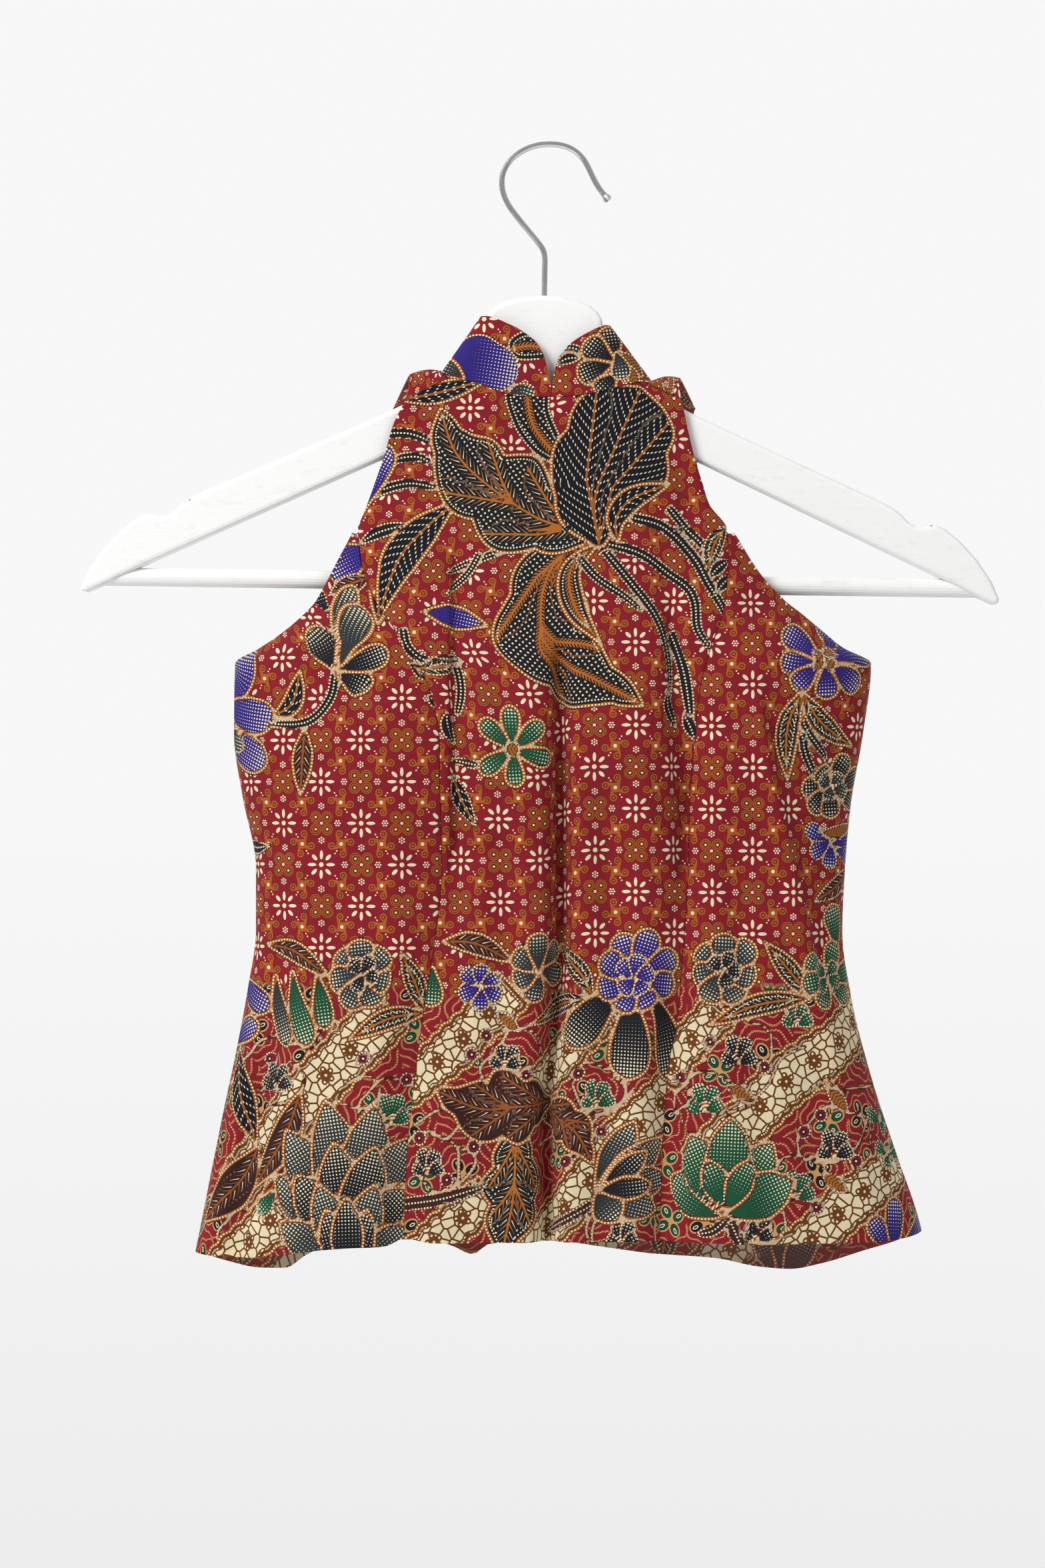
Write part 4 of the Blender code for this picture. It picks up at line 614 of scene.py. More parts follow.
RIGHT_MOTIFS = [
    Cloud(90, -433, 15, -50, 200),
    Cloud(75, -458, 14, 20, 240),
    Cloud(136, -477, 16, -50, 210),
    Cloud(118, -498, 14, -30, 200),
    Cloud(99, -519, 13, 0, 190),
    Cloud(142, -436, 14, 150, 330),
    Motif("ribbon", "lace", 12, [(70, -490), (92, -468), (116, -444), (150, -410)]),
    Motif("ribbon", "lace", 11, [(106, -540), (130, -518), (152, -498), (182, -474)]),
    Motif("ribbon", "lace", 9, [(52, -446), (66, -428), (82, -412)]),
    border_line((58, -462), (66, -456), (64, -446), (74, -442), (84, -446)),
    border_line((84, -462), (94, -458), (104, -448), (110, -436), (122, -430)),
    border_line((124, -482), (134, -486), (144, -480), (150, -468), (146, -458)),
    border_line((92, -508), (104, -504), (112, -512), (108, -524), (96, -526)),
    border_line((124, -450), (132, -446), (138, -452), (134, -462)),
    border_round(73, -428),
    border_round(99, -440),
    border_round(59, -445),
    border_round(126, -463),
    border_round(118, -471),
    border_round(143, -485),
    border_round(124, -507),
    border_clover("black petal", 90, -438),
    border_clover("green petal", 74, -461),
    border_clover("black petal", 136, -483),
    border_clover("green petal", 118, -503),
    Flower("black petal", (99, -523), 3.6, [(92, -519), (96, -511), (103, -512), (106, -519)]),
    Flower("green petal", (118, -420), 3.4, [(111, -416), (115, -409), (121, -410), (125, -416)]),
    Motif("leaf", "ochre cells", 3.2, [(84, -449), (90, -452), (98, -457)]),
    Motif("leaf", "ochre cells", 3.2, [(132, -450), (137, -455), (142, -462)]),
    Motif("leaf", "ochre cells", 3.2, [(130, -491), (135, -495), (142, -500)]),
    Motif("petal", "blue petal", 6.6, [(128, -245), (121, -238), (111, -231)]),
    Motif("petal", "blue petal", 6.4, [(130, -244), (133, -236), (128, -226)]),
    Motif("petal", "blue petal", 6.2, [(132, -246), (142, -242), (152, -244)]),
    Motif("petal", "blue petal", 5.8, [(128, -247), (118, -247), (110, -245)]),
    Motif("petal", "blue petal", 6.2, [(134, -248), (141, -253), (147, -259)]),
    Motif("petal", "blue petal", 5.6, [(128, -248), (121, -254), (116, -259)]),
    Motif("petal", "blue petal", 6.2, [(131, -248), (132, -256), (132, -264)]),
    Flower("ochre cells", (131, -246), 2.6, [(126, -241), (134, -240), (136, -248), (126, -249)]),
    Motif("stem", "dark stem", 2.2, [(119, -264), (122, -278), (132, -293)]),
    Motif("stem", "dark stem", 2.2, [(120, -280), (122, -291), (127, -303)]),
    Motif("leaf", "feather leaf", 5.6, [(120, -260), (113, -279), (113, -303)]),
    Motif("leaf", "feather leaf", 5.2, [(120, -261), (130, -276), (144, -287)]),
    Flower("black petal", (133, -306), 5.4, [(120, -307), (124, -318), (134, -321), (144, -314),
                                              (147, -300), (142, -291), (128, -297)]),
    Flower("grey petal", (134, -306), 3.8, [(129, -301), (139, -300), (141, -309), (132, -312)]),
    Flower("blue petal", (134, -333), 4.2, [(122, -325), (124, -338), (133, -345), (142, -341),
                                             (146, -331)]),
    Motif("leaf", "ochre cells", 3.0, [(128, -326), (134, -328), (142, -324)]),
    Motif("leaf", "brown leaf", 4.4, [(141, -345), (136, -354), (126, -361)]),
    Motif("petal", "green petal", 6.0, [(137, -386), (136, -374), (134, -362)]),
    Motif("leaf", "feather leaf", 5.0, [(124, -407), (114, -394), (102, -380)]),
    Motif("leaf", "feather leaf", 5.0, [(124, -407), (100, -410), (75, -420)]),
    Flower("grey petal", (82, -394), 6.4, [(70, -383), (68, -397), (74, -409), (90, -409), (98, -397),
                                            (97, -381), (83, -376)]),
    Flower("black petal", (83, -394), 3.8, [(76, -388), (86, -385), (91, -394), (84, -402)]),
    Flower("green petal", (132, -397), 5.6, [(122, -388), (120, -401), (130, -412), (142, -408),
                                              (144, -393), (136, -380)]),
    Flower("green petal", (132, -397), 3.6, [(127, -392), (136, -390), (138, -400), (129, -404)]),
    Motif("lobed", "feather leaf", 8.0, [(158, -432), (166, -456), (176, -482)]),
    Motif("lobed", "veined leaf", 7.0, [(176, -490), (184, -512), (186, -540)]),
    Motif("stem", "brown stem", 3.0, [(83, -500), (86, -514), (95, -534)]),
    Motif("stem", "brown stem", 2.4, [(86, -510), (78, -518), (70, -520)]),
    Flower("green petal", (84, -510), 11.0, [(57, -492), (66, -472), (106, -476), (116, -494)], "point"),
    Flower("green petal", (84, -508), 11.0, [(86, -464)], "point"),
    Flower("green petal", (84, -508), 6.4, [(74, -484), (96, -484)], "point"),
    Flower("green petal", (157, -466), 3.6, [(151, -461), (157, -457), (163, -462), (160, -471)]),
    Flower("green petal", (161, -482), 3.6, [(155, -477), (162, -474), (167, -481), (161, -488)]),
    Flower("blue petal", (164, -530), 5.4, [(153, -512), (175, -510)]),
    Flower("blue petal", (164, -530), 6.2, [(164, -502)]),
]
COLLAR_LEFT_MOTIFS = [
    Motif("leaf", "veined leaf", 5.0, [(-72, -121), (-52, -114), (-30, -110)]),
    Motif("shape", "fern leaf", 0, [(-20, -93), (-12, -88), (-3, -92), (4, -99), (-4, -101), (-17, -101)],
          [[(-20, -97), (-10, -95), (4, -98)]]),
    Motif("petal", "grey petal", 3.4, [(-21, -119), (-15, -116), (-8, -118)]),
    Motif("shape", "blue petal", 0, [(-50, -109), (-46, -97), (-40, -91), (-32, -90), (-25, -94),
                                     (-19, -98), (-16, -105), (-18, -113), (-26, -117), (-36, -114)],
          [[(-47, -103), (-34, -104), (-16, -107)]]),
    Motif("petal", "grey petal", 5.0, [(-42, -111), (-47, -107), (-56, -103)]),
]
COLLAR_RIGHT_MOTIFS = [
    Motif("leaf", "dark stem", 2.6, [(14, -101), (8, -101), (2, -104)]),
    Motif("stem", "dark stem", 1.8, [(17, -99), (10, -96), (2, -97)]),
    Motif("leaf", "ochre cells", 3.4, [(33, -98), (38, -103), (44, -110)]),
    Motif("leaf", "ochre cells", 3.0, [(33, -104), (38, -108), (42, -116)]),
    Motif("petal", "black petal", 5.6, [(30, -104), (29, -96), (27, -86)]),
    Motif("petal", "black petal", 6.4, [(30, -102), (23, -98), (16, -93)]),
    Motif("petal", "black petal", 6.0, [(29, -104), (22, -106), (13, -110)]),
    Motif("petal", "black petal", 5.4, [(31, -108), (27, -113), (22, -118)]),
    Motif("petal", "grey petal", 4.4, [(31, -98), (33, -104), (34, -111)]),
]
STRAP_LEFT_MOTIFS = [
    Motif("petal", "grey petal", 7.0, [(-46, -108), (-56, -108), (-68, -110)]),
    Motif("leaf", "veined leaf", 4.0, [(-66, -122), (-58, -117), (-48, -114)]),
]
STRAP_RIGHT_MOTIFS = [
    Motif("stem", "dark stem", 2.2, [(60, -111), (62, -117), (66, -125)]),
    Motif("leaf", "ochre cells", 2.6, [(53, -113), (57, -116), (60, -120)]),
]
BACK_REPEAT = 200.0
BACK_MOTIFS = [
    Motif("ribbon", "lace", 12, [(168, -500), (186, -480), (204, -462)]),
    Motif("ribbon", "lace", 11, [(-12, -556), (10, -536), (34, -512)]),
    Motif("lobed", "veined leaf", 14.0, [(160, -204), (150, -178), (138, -150)]),
    Motif("ovate", "veined leaf", 15.0, [(160, -204), (172, -176), (176, -140)]),
    Motif("lobed", "fern leaf", 14.0, [(160, -206), (170, -232), (160, -262)]),
    Motif("stem", "dark stem", 2.4, [(158, -204), (138, -216), (124, -236), (116, -262)]),
    Flower("green petal", (184, -306), 4.6, [(182, -285), (200, -293), (202, -311), (184, -325),
                                             (167, -317), (167, -294)]),
    Motif("round", "ochre cells", 3.2, [(180.8, -306), (187.2, -306)]),
    Flower("grey petal", (184, -398), 6.4, [(172, -388), (170, -402), (178, -414), (192, -414), (200, -401),
                                            (198, -385), (184, -380)]),
    Motif("leaf", "feather leaf", 5.0, [(172, -408), (160, -412), (146, -424)]),
    Motif("lobed", "brown leaf", 12.0, [(196, -470), (182, -476), (160, -470)]),
    Cloud(26, -434, 15, -50, 200),
    Cloud(84, -453, 15, -40, 200),
    Cloud(142, -500, 15, -40, 210),
    Cloud(16, -516, 14, -20, 200),
    Motif("ribbon", "lace", 12, [(6, -500), (30, -476), (52, -450), (80, -420)]),
    Motif("ribbon", "lace", 12, [(70, -545), (96, -515), (122, -486), (158, -446)]),
    Motif("ribbon", "lace", 10, [(100, -462), (122, -440), (148, -412)]),
    border_line((12, -462), (22, -458), (28, -446), (40, -440), (50, -430)),
    border_line((78, -474), (90, -468), (98, -474), (92, -484), (80, -484)),
    border_line((120, -514), (132, -508), (142, -514), (136, -526), (124, -524)),
    border_round(9, -440),
    border_round(64, -492),
    border_round(92, -436),
    border_round(138, -482),
    border_clover("black petal", 26, -438),
    border_clover("green petal", 84, -458),
    border_clover("black petal", 142, -505),
    border_clover("green petal", 16, -520),
    Motif("ovate", "veined leaf", 17.0, [(34, -198), (44, -168), (52, -132)]),
    Motif("lobed", "feather leaf", 13.0, [(30, -200), (18, -176), (12, -144)]),
    Motif("lobed", "fern leaf", 15.0, [(34, -200), (25, -228), (34, -262)]),
    Motif("stem", "dark stem", 2.4, [(36, -198), (58, -208), (76, -226), (88, -252)]),
    Motif("stem", "dark stem", 2.2, [(38, -202), (56, -220), (66, -244), (66, -270)]),
    Motif("leaf", "dark stem", 3.2, [(66, -266), (68, -276), (72, -284)]),
    Flower("green petal", (22, -296), 4.6, [(20, -275), (38, -283), (40, -301), (22, -315),
                                             (5, -307), (5, -284)]),
    Motif("round", "ochre cells", 3.2, [(18.8, -296), (25.2, -296)]),
    Motif("lobed", "veined leaf", 9.0, [(162, -430), (172, -462), (186, -500)]),
    Motif("lobed", "feather leaf", 8.0, [(186, -500), (190, -524), (186, -556)]),
    Flower("blue petal", (128, -262), 6.4, [(112, -252), (128, -243), (144, -253), (144, -270),
                                             (128, -280), (112, -271)]),
    Motif("leaf", "feather leaf", 5.4, [(122, -282), (114, -298), (114, -322)]),
    Motif("leaf", "brown leaf", 5.0, [(60, -380), (76, -382), (92, -392)]),
    Motif("leaf", "feather leaf", 4.8, [(70, -408), (60, -395), (50, -380)]),
    Motif("leaf", "feather leaf", 4.8, [(70, -408), (54, -412), (42, -424)]),
    Flower("grey petal", (26, -394), 6.4, [(14, -384), (12, -398), (20, -410), (34, -410), (42, -397),
                                            (40, -381), (26, -376)]),
    Motif("petal", "black petal", 9.0, [(98, -404), (88, -416), (78, -434)]),
    Motif("petal", "black petal", 9.0, [(102, -404), (104, -424), (104, -446)]),
    Flower("blue petal", (102, -397), 6.8, [(94, -374), (110, -374), (122, -386), (122, -402),
                                             (108, -412), (92, -411), (83, -400), (84, -385)]),
    Flower("green petal", (142, -396), 5.6, [(132, -387), (130, -400), (140, -411), (152, -406),
                                              (152, -391), (142, -382)]),
    Motif("lobed", "brown leaf", 14.0, [(84, -460), (60, -464), (34, -454)]),
    Motif("lobed", "feather leaf", 13.0, [(60, -468), (58, -500), (52, -536)]),
    Flower("grey petal", (112, -524), 11.0, [(84, -496), (96, -472), (116, -462), (136, -474), (144, -498)],
           "point"),
    Flower("black petal", (112, -532), 9.0, [(94, -496), (112, -484), (130, -496)], "point"),
    Flower("grey petal", (112, -542), 7.0, [(98, -514), (112, -504), (126, -514)], "point"),
]


def linear(code):
    """The linear colour of an sRGB hex value."""
    parts = [int(code[k:k + 2], 16) / 255 for k in (1, 3, 5)]
    return [part / 12.92 if part <= 0.04045 else ((part + 0.055) / 1.055) ** 2.4 for part in parts]



def curve_through(places, values, at):
    """Values at `at` on a smooth curve through the given ones that doesn't overshoot them."""
    places = np.asarray(places, float)
    values = np.asarray(values, float)
    if places[0] > places[-1]:
        places, values = places[::-1], values[::-1]
    gaps = np.diff(places)
    slopes = np.diff(values) / gaps
    tangents = np.zeros(len(places))
    tangents[0], tangents[-1] = slopes[0], slopes[-1]
    for i in range(1, len(places) - 1):
        if slopes[i - 1] * slopes[i] > 0:
            before = 2 * gaps[i] + gaps[i - 1]
            after = gaps[i] + 2 * gaps[i - 1]
            tangents[i] = (before + after) / (before / slopes[i - 1] + after / slopes[i])
    at = np.clip(np.asarray(at, float), places[0], places[-1])
    i = np.clip(np.searchsorted(places, at) - 1, 0, len(gaps) - 1)
    t = (at - places[i]) / gaps[i]
    rise = values[i] * (1 + 2 * t) * (1 - t) ** 2 + values[i + 1] * t * t * (3 - 2 * t)
    turn = tangents[i] * t * (1 - t) ** 2 - tangents[i + 1] * t * t * (1 - t)
    return rise + turn * gaps[i]


def value_at(table, column, at, by="z"):
    places = [getattr(row, by) for row in table]
    return curve_through(places, [getattr(row, column) for row in table], at)


def smooth_step(value):
    value = np.clip(value, 0.0, 1.0)
    return value * value * (3 - 2 * value)


def fold_depth(folds, x, z):
    """How far all the folds push the cloth at (x, z), positive towards +Y."""
    total = np.zeros_like(x)
    for fold in folds:
        top, bottom = fold.path[-1].z, fold.path[0].z
        level = np.clip(z, bottom, top)
        depth = value_at(fold.path, "depth", level)
        centre = value_at(fold.path, "x", level)
        total += depth * np.exp(-(((x - centre) / fold.width) ** 2))
    return total


def path_distance(x, z, path):
    """Distance to a path of points, the side of it, and how far along it the nearest point is."""
    path = np.asarray(path, float)
    best = np.full(x.shape, np.inf)
    side = np.zeros(x.shape)
    along = np.zeros(x.shape)
    walked = 0.0
    for (ax, az), (bx, bz) in zip(path[:-1], path[1:]):
        step_x, step_z = bx - ax, bz - az
        length = math.hypot(step_x, step_z)
        t = ((x - ax) * step_x + (z - az) * step_z) / (length * length)
        held = np.clip(t, 0.0, 1.0)
        gap = np.hypot(x - ax - held * step_x, z - az - held * step_z)
        nearer = gap < best
        best = np.where(nearer, gap, best)
        turned = ((x - ax) * step_z - (z - az) * step_x) / length
        side = np.where(nearer, turned, side)
        along = np.where(nearer, walked + held * length, along)
        walked += length
    return best, side, along, walked


def crease_depth(creases, pleats, x, z):
    """How far fine creases and pleats push the cloth, positive towards +Y."""
    total = np.zeros_like(x)
    for crease in creases:
        gap, _, along, length = path_distance(x, z, crease.path)
        faded = smooth_step(along / CREASE_END) * smooth_step((length - along) / CREASE_END)
        total += crease.depth * faded * np.exp(-((gap / crease.width) ** 2))
    for pleat in pleats:
        gap, side, along, length = path_distance(x, z, pleat.path)
        across = -side
        faded = smooth_step(along / CREASE_END) * smooth_step((length - along) / CREASE_END)
        drop = smooth_step((across + pleat.edge) / (2 * pleat.edge)) * np.exp(-np.abs(across) / pleat.reach)
        total += pleat.depth * faded * drop
    for height, run_x, run_z, start in RIPPLES:
        total += height * np.sin(x / run_x * math.pi + z / run_z + start)
    return total


def bowed(x, z, depths, folds, creases, pleats):
    """The y of a sheet that bows out between its two edges and carries its folds and creases."""
    left, right = value_at(LEFT_EDGE, "x", z), value_at(RIGHT_EDGE, "x", z)
    middle = 0.5 * (left + right)
    half = 0.5 * (right - left)
    share = np.clip(np.abs(x - middle) / half, 0.0, 1.0)
    edge, centre = value_at(depths, "edge", z), value_at(depths, "centre", z)
    opened = smooth_step((z - UNDERARM) / ARMHOLE_FADE)
    roundness = SIDE_ROUNDNESS + (ARMHOLE_ROUNDNESS - SIDE_ROUNDNESS) * opened
    bow = (1 - share ** value_at(depths, "square", z)) ** (1 / roundness)
    steady = 1 - smooth_step((share - FOLD_LIMIT) / (1 - FOLD_LIMIT))
    pushed = fold_depth(folds, x, z) + crease_depth(creases, pleats, x, z)
    return edge + (centre - edge) * bow + pushed * steady


def front_y(x, z):
    return bowed(x, z, FRONT_DEPTH, FRONT_FOLDS, FRONT_CREASES, FRONT_PLEATS)


def back_y(x, z):
    return bowed(x, z, BACK_DEPTH, BACK_FOLDS, BACK_CREASES, [])


def collar_depth(depths, z):
    share = (z - COLLAR_LEVELS[0]) / (COLLAR_LEVELS[1] - COLLAR_LEVELS[0])
    return depths[0] + (depths[1] - depths[0]) * share


def collar_point(leaf, side, share, z, at_front):
    """A point of the collar's cone. `share` runs from 0 at the centre to 1 at the side fold."""
    width = leaf.width_top + (leaf.z_top - z) * leaf.lean
    depth = collar_depth(COLLAR_FRONT_DEPTH, z) if at_front else -collar_depth(COLLAR_BACK_DEPTH, z)
    bow = (1 - share**COLLAR_SQUARE) ** 0.5
    return np.array([side * width * share, -depth * bow, z])


def neck_seam(leaf, side, share, at_front):
    """A point of the seam between the body and the collar."""
    if at_front:
        base = float(value_at(leaf.share_points, "base", share, by="share"))
    else:
        side_base = leaf.share_points[-1].base
        places = [0.0, NECK_BACK_SHARE, 1.0]
        base = float(curve_through(places, [CENTRE_BACK_BASE, leaf.back_base, side_base], share))
    return collar_point(leaf, side, share, base, at_front)


def row_levels():
    """The nominal levels of the body's rows, from the hem to the shoulders."""
    below = np.linspace(HEM_ROW, UNDERARM, ROWS_BELOW_ARM + 1)
    beside = np.linspace(UNDERARM, PANEL_TIP, ROWS_BESIDE_PANEL + 1)[1:]
    above = np.linspace(PANEL_POINT, TOP_ROW, ROWS_TO_SHOULDER + 1)
    return np.concatenate([below, beside, above])


def hem_pull(level):
    return smooth_step((HEM_ROW + HEM_FADE - level) / HEM_FADE)


def top_pull(level):
    return smooth_step((level - TOP_ROW + TOP_FADE) / TOP_FADE)


def inward(outer, towards_back):
    """Unit directions from the cloth's outer points towards its wearer's side."""
    along = np.gradient(outer, axis=1)
    up = np.gradient(outer, axis=0)
    normal = np.cross(along, up)
    normal /= np.linalg.norm(normal, axis=2, keepdims=True)
    return -normal if towards_back else normal


def mitre_side_seam(directions, levels, side):
    """Turns the wall at a side seam straight in from it, so that two panels meet face to face."""
    for row, level in enumerate(levels):
        if level < UNDERARM - ROW_TOLERANCE:
            directions[row, 0] = (-side, 0.0, 0.0)
        elif level < UNDERARM + ROW_TOLERANCE:
            directions[row, 0] = (-side * UNDERARM_MITRE[0], 0.0, -UNDERARM_MITRE[1])


def mitre_princess_seam(directions, grid, column):
    """Gives the wall at a princess seam the direction that both of its panels share."""
    for row, (x, _, z) in enumerate(grid[:, column]):
        if z > PANEL_TIP + ROW_TOLERANCE:
            continue
        near_x = front_y(np.array([x - SLOPE_REACH, x + SLOPE_REACH]), np.array([z, z]))
        near_z = front_y(np.array([x, x]), np.array([z - SLOPE_REACH, z + SLOPE_REACH]))
        slope_x = (near_x[1] - near_x[0]) / (2 * SLOPE_REACH)
        slope_z = (near_z[1] - near_z[0]) / (2 * SLOPE_REACH)
        normal = np.array([-slope_x, 1.0, -slope_z])
        directions[row, column] = normal / np.linalg.norm(normal)


def front_grid(levels, left, right, shares, top_edge):
    """Outer points of the middle front between its two edges, given by level, up to its top row."""
    grid = np.zeros((len(levels), len(shares), 3))
    for row, level in enumerate(levels):
        x = left[row] + (right[row] - left[row]) * shares
        z = level + hem_pull(level) * (value_at(FRONT_HEM, "z", x, by="x") - HEM_ROW)
        y = front_y(x, np.full(len(x), level))
        pull = top_pull(level)
        x = x + pull * (top_edge[:, 0] - (left[-1] + (right[-1] - left[-1]) * shares))
        z = z + pull * (top_edge[:, 2] - TOP_ROW)
        y = y + pull**2 * (top_edge[:, 1] - front_y(top_edge[:, 0], np.full(len(x), TOP_ROW)))
        grid[row] = np.column_stack([x, y, z])
    return grid


def neck_seam_at(leaf, side, x):
    """The point of the front neck seam with the given x, found by a few rounds of correction."""
    level = leaf.share_points[0].base
    for _ in range(NECK_ROUNDS):
        width = leaf.width_top + (leaf.z_top - level) * leaf.lean
        point = neck_seam(leaf, side, min(abs(x) / width, NECK_FRONT_SHARE), True)
        level = point[2]
    return np.array([x, point[1], level])


def front_top_edge(shares):
    """The top row of the middle front: shoulder seam, neck seam, shoulder seam."""
    left_tip = np.array([LEFT_STRAP.front_x, -STRAP_DEPTH, LEFT_STRAP.front_z])
    right_tip = np.array([RIGHT_STRAP.front_x, -STRAP_DEPTH, RIGHT_STRAP.front_z])
    left_point = neck_seam(LEFT_COLLAR, -1, NECK_FRONT_SHARE, True)
    right_point = neck_seam(RIGHT_COLLAR, 1, NECK_FRONT_SHARE, True)
    left_neck, right_neck = FRONT_NECK_SHARES
    row = []
    for share in shares:
        if share <= left_neck:
            point = left_tip + (left_point - left_tip) * share / left_neck
        elif share >= right_neck:
            along = (share - right_neck) / (1 - right_neck)
            point = right_point + (right_tip - right_point) * along
        else:
            along = (share - left_neck) / (right_neck - left_neck)
            x = left_point[0] + (right_point[0] - left_point[0]) * along
            leaf, side = (LEFT_COLLAR, -1) if x < 0 else (RIGHT_COLLAR, 1)
            point = neck_seam_at(leaf, side, x)
        row.append(point + np.array([0.0, 0.0, -SEAM_GAP]))
    return np.array(row)


Sheet = namedtuple("Sheet", "outer inner filled u v straps")


def with_edge_columns(shares, width):
    """Adds columns close to both side edges, so that a seam's roll has points to follow."""
    near = np.array(EDGE_COLUMNS) / width
    clear = near[-1] * EDGE_CLEARANCE
    middle = shares[(shares > clear) & (shares < 1 - clear)]
    return np.concatenate([[0.0], near, middle, 1 - near[::-1], [1.0]])


def roll_seam(grid, columns, towards_back):
    """Turns the cloth in a little over the last millimetre before a sewn edge."""
    for column in columns:
        edge = grid[:, column]
        nearby = range(len(EDGE_COLUMNS) + 2) if column == 0 else range(-len(EDGE_COLUMNS) - 2, 0)
        for other in nearby:
            gap = np.linalg.norm(grid[:, other] - edge, axis=1)
            grid[:, other, 1] += towards_back * SEAM_ROLL * np.exp(-((gap / SEAM_ROLL_REACH) ** 2))


def hem_groove(y, level_above_hem, towards_back):
    """The shallow line that the hem's blind stitches draw."""
    depth, width = HEM_GROOVE
    return y + towards_back * depth * np.exp(-(((level_above_hem - HEM_STITCHES) / width) ** 2))


def cloth_u(outer, anchor):
    """How far each point lies along its row of cloth from the column that stands at x = anchor."""
    runs = np.linalg.norm(np.diff(outer[:, :, :2], axis=1), axis=2)
    walked = np.concatenate([np.zeros((len(outer), 1)), np.cumsum(runs, axis=1)], axis=1)
    places = np.zeros(outer.shape[:2])
    for row in range(len(outer)):
        x = outer[row, :, 0]
        if x[0] < x[-1]:
            places[row] = anchor + walked[row] - np.interp(anchor, x, walked[row])
        else:
            places[row] = anchor - walked[row] + np.interp(anchor, x[::-1], walked[row][::-1])
    return places


def middle_front_sheet():
    levels = row_levels()
    left = np.where(levels < PANEL_POINT, value_at(LEFT_SEAM, "x", levels) + SEAM_GAP / 2,
                    value_at(LEFT_EDGE, "x", levels))
    right = np.where(levels < PANEL_POINT, value_at(RIGHT_SEAM, "x", levels) - SEAM_GAP / 2,
                     value_at(RIGHT_EDGE, "x", levels))
    left_neck, right_neck = FRONT_NECK_SHARES
    first, second, third = FRONT_COLUMNS
    shares = np.concatenate([
        np.linspace(0, left_neck, first + 1),
        np.linspace(left_neck, right_neck, second + 1)[1:],
        np.linspace(right_neck, 1, third + 1)[1:],
    ])
    shares = with_edge_columns(shares, 130.0)
    outer = front_grid(levels, left, right, shares, front_top_edge(shares))
    raised = outer[:, :, 2] - value_at(FRONT_HEM, "z", outer[0, :, 0], by="x")[None, :]
    outer[:, :, 1] = hem_groove(outer[:, :, 1], raised, 1)
    roll_seam(outer, (0, -1), 1)
    directions = inward(outer, True)
    directions[-1] = (0.0, 1.0, 0.0)
    mitre_princess_seam(directions, outer, 0)
    mitre_princess_seam(directions, outer, -1)
    inner = outer + BODY_CLOTH * directions
    u = cloth_u(outer, MIDDLE_ANCHOR)
    v = outer[:, :, 2] + GRAIN_RISE * (1 - smooth_step((outer[:, :, 0] + 10) / 30))
    return Sheet(outer, inner, np.ones(u.shape, bool), u, v, np.zeros(u.shape, bool))


def side_front_sheet(side, edge_table, seam_table, anchor):
    levels = row_levels()
    levels = levels[levels < PANEL_POINT]
    edge = value_at(edge_table, "x", levels)
    seam = value_at(seam_table, "x", levels) + side * SEAM_GAP / 2
    steps = with_edge_columns(np.linspace(0, 1, SIDE_COLUMNS + 1), 98.0)
    even = smooth_step((levels - UNDERARM) / SIDE_SPREAD)
    curved = steps + (1 - np.cos(steps * math.pi / 2) - steps) * SIDE_CROWDING
    grid = np.zeros((len(levels), len(steps), 3))
    for row, level in enumerate(levels):
        shares = curved * (1 - even[row]) + steps * even[row]
        x = edge[row] + (seam[row] - edge[row]) * shares
        hem = value_at(FRONT_HEM, "z", x, by="x")
        z = level + hem_pull(level) * (hem - HEM_ROW)
        y = hem_groove(front_y(x, np.full(len(x), level)), z - hem, 1)
        grid[row] = np.column_stack([x, y, z])
    grid[:, 0, 1] -= SEAM_GAP / 2
    roll_seam(grid, (-1,), 1)
    directions = inward(grid, side < 0)
    mitre_side_seam(directions, levels, side)
    mitre_princess_seam(directions, grid, -1)
    inner = grid + BODY_CLOTH * directions
    u = cloth_u(grid, anchor)
    return Sheet(grid, inner, np.ones(u.shape, bool), u, grid[:, :, 2].copy(), np.zeros(u.shape, bool))


def strap_arch(strap, leaf, side, turn, across):
    """A point of the shoulder strap. `turn` runs over the ridge from back to front, and `across`
    from the armhole edge to the collar."""
    rise = math.sin(math.pi * turn)
    base_x = strap.back_x + (strap.front_x - strap.back_x) * turn
    base_z = strap.back_z + (strap.front_z - strap.back_z) * turn
    middle_x = 0.5 * (strap.back_x + strap.front_x)
    middle_z = 0.5 * (strap.back_z + strap.front_z)
    armhole = np.array([
        base_x + (strap.ridge_x - middle_x) * rise,
        STRAP_DEPTH * math.cos(math.pi * turn),
        base_z + (strap.ridge_z - middle_z) * rise,
    ])
    if turn < 0.5:
        share = 1 - (1 - NECK_BACK_SHARE) * (1 - math.sin(math.pi * turn))
    else:
        share = 1 - (1 - NECK_FRONT_SHARE) * (1 - math.sin(math.pi * turn))
    collar = neck_seam(leaf, side, share, turn > 0.5)
    collar = collar + np.array([side * SEAM_GAP, 0.0, -SEAM_GAP])
    ends = armhole + (collar - armhole) * across
    crown = STRAP_CROWN * math.sin(math.pi * across) * rise
    return ends + np.array([0.0, 0.0, crown])


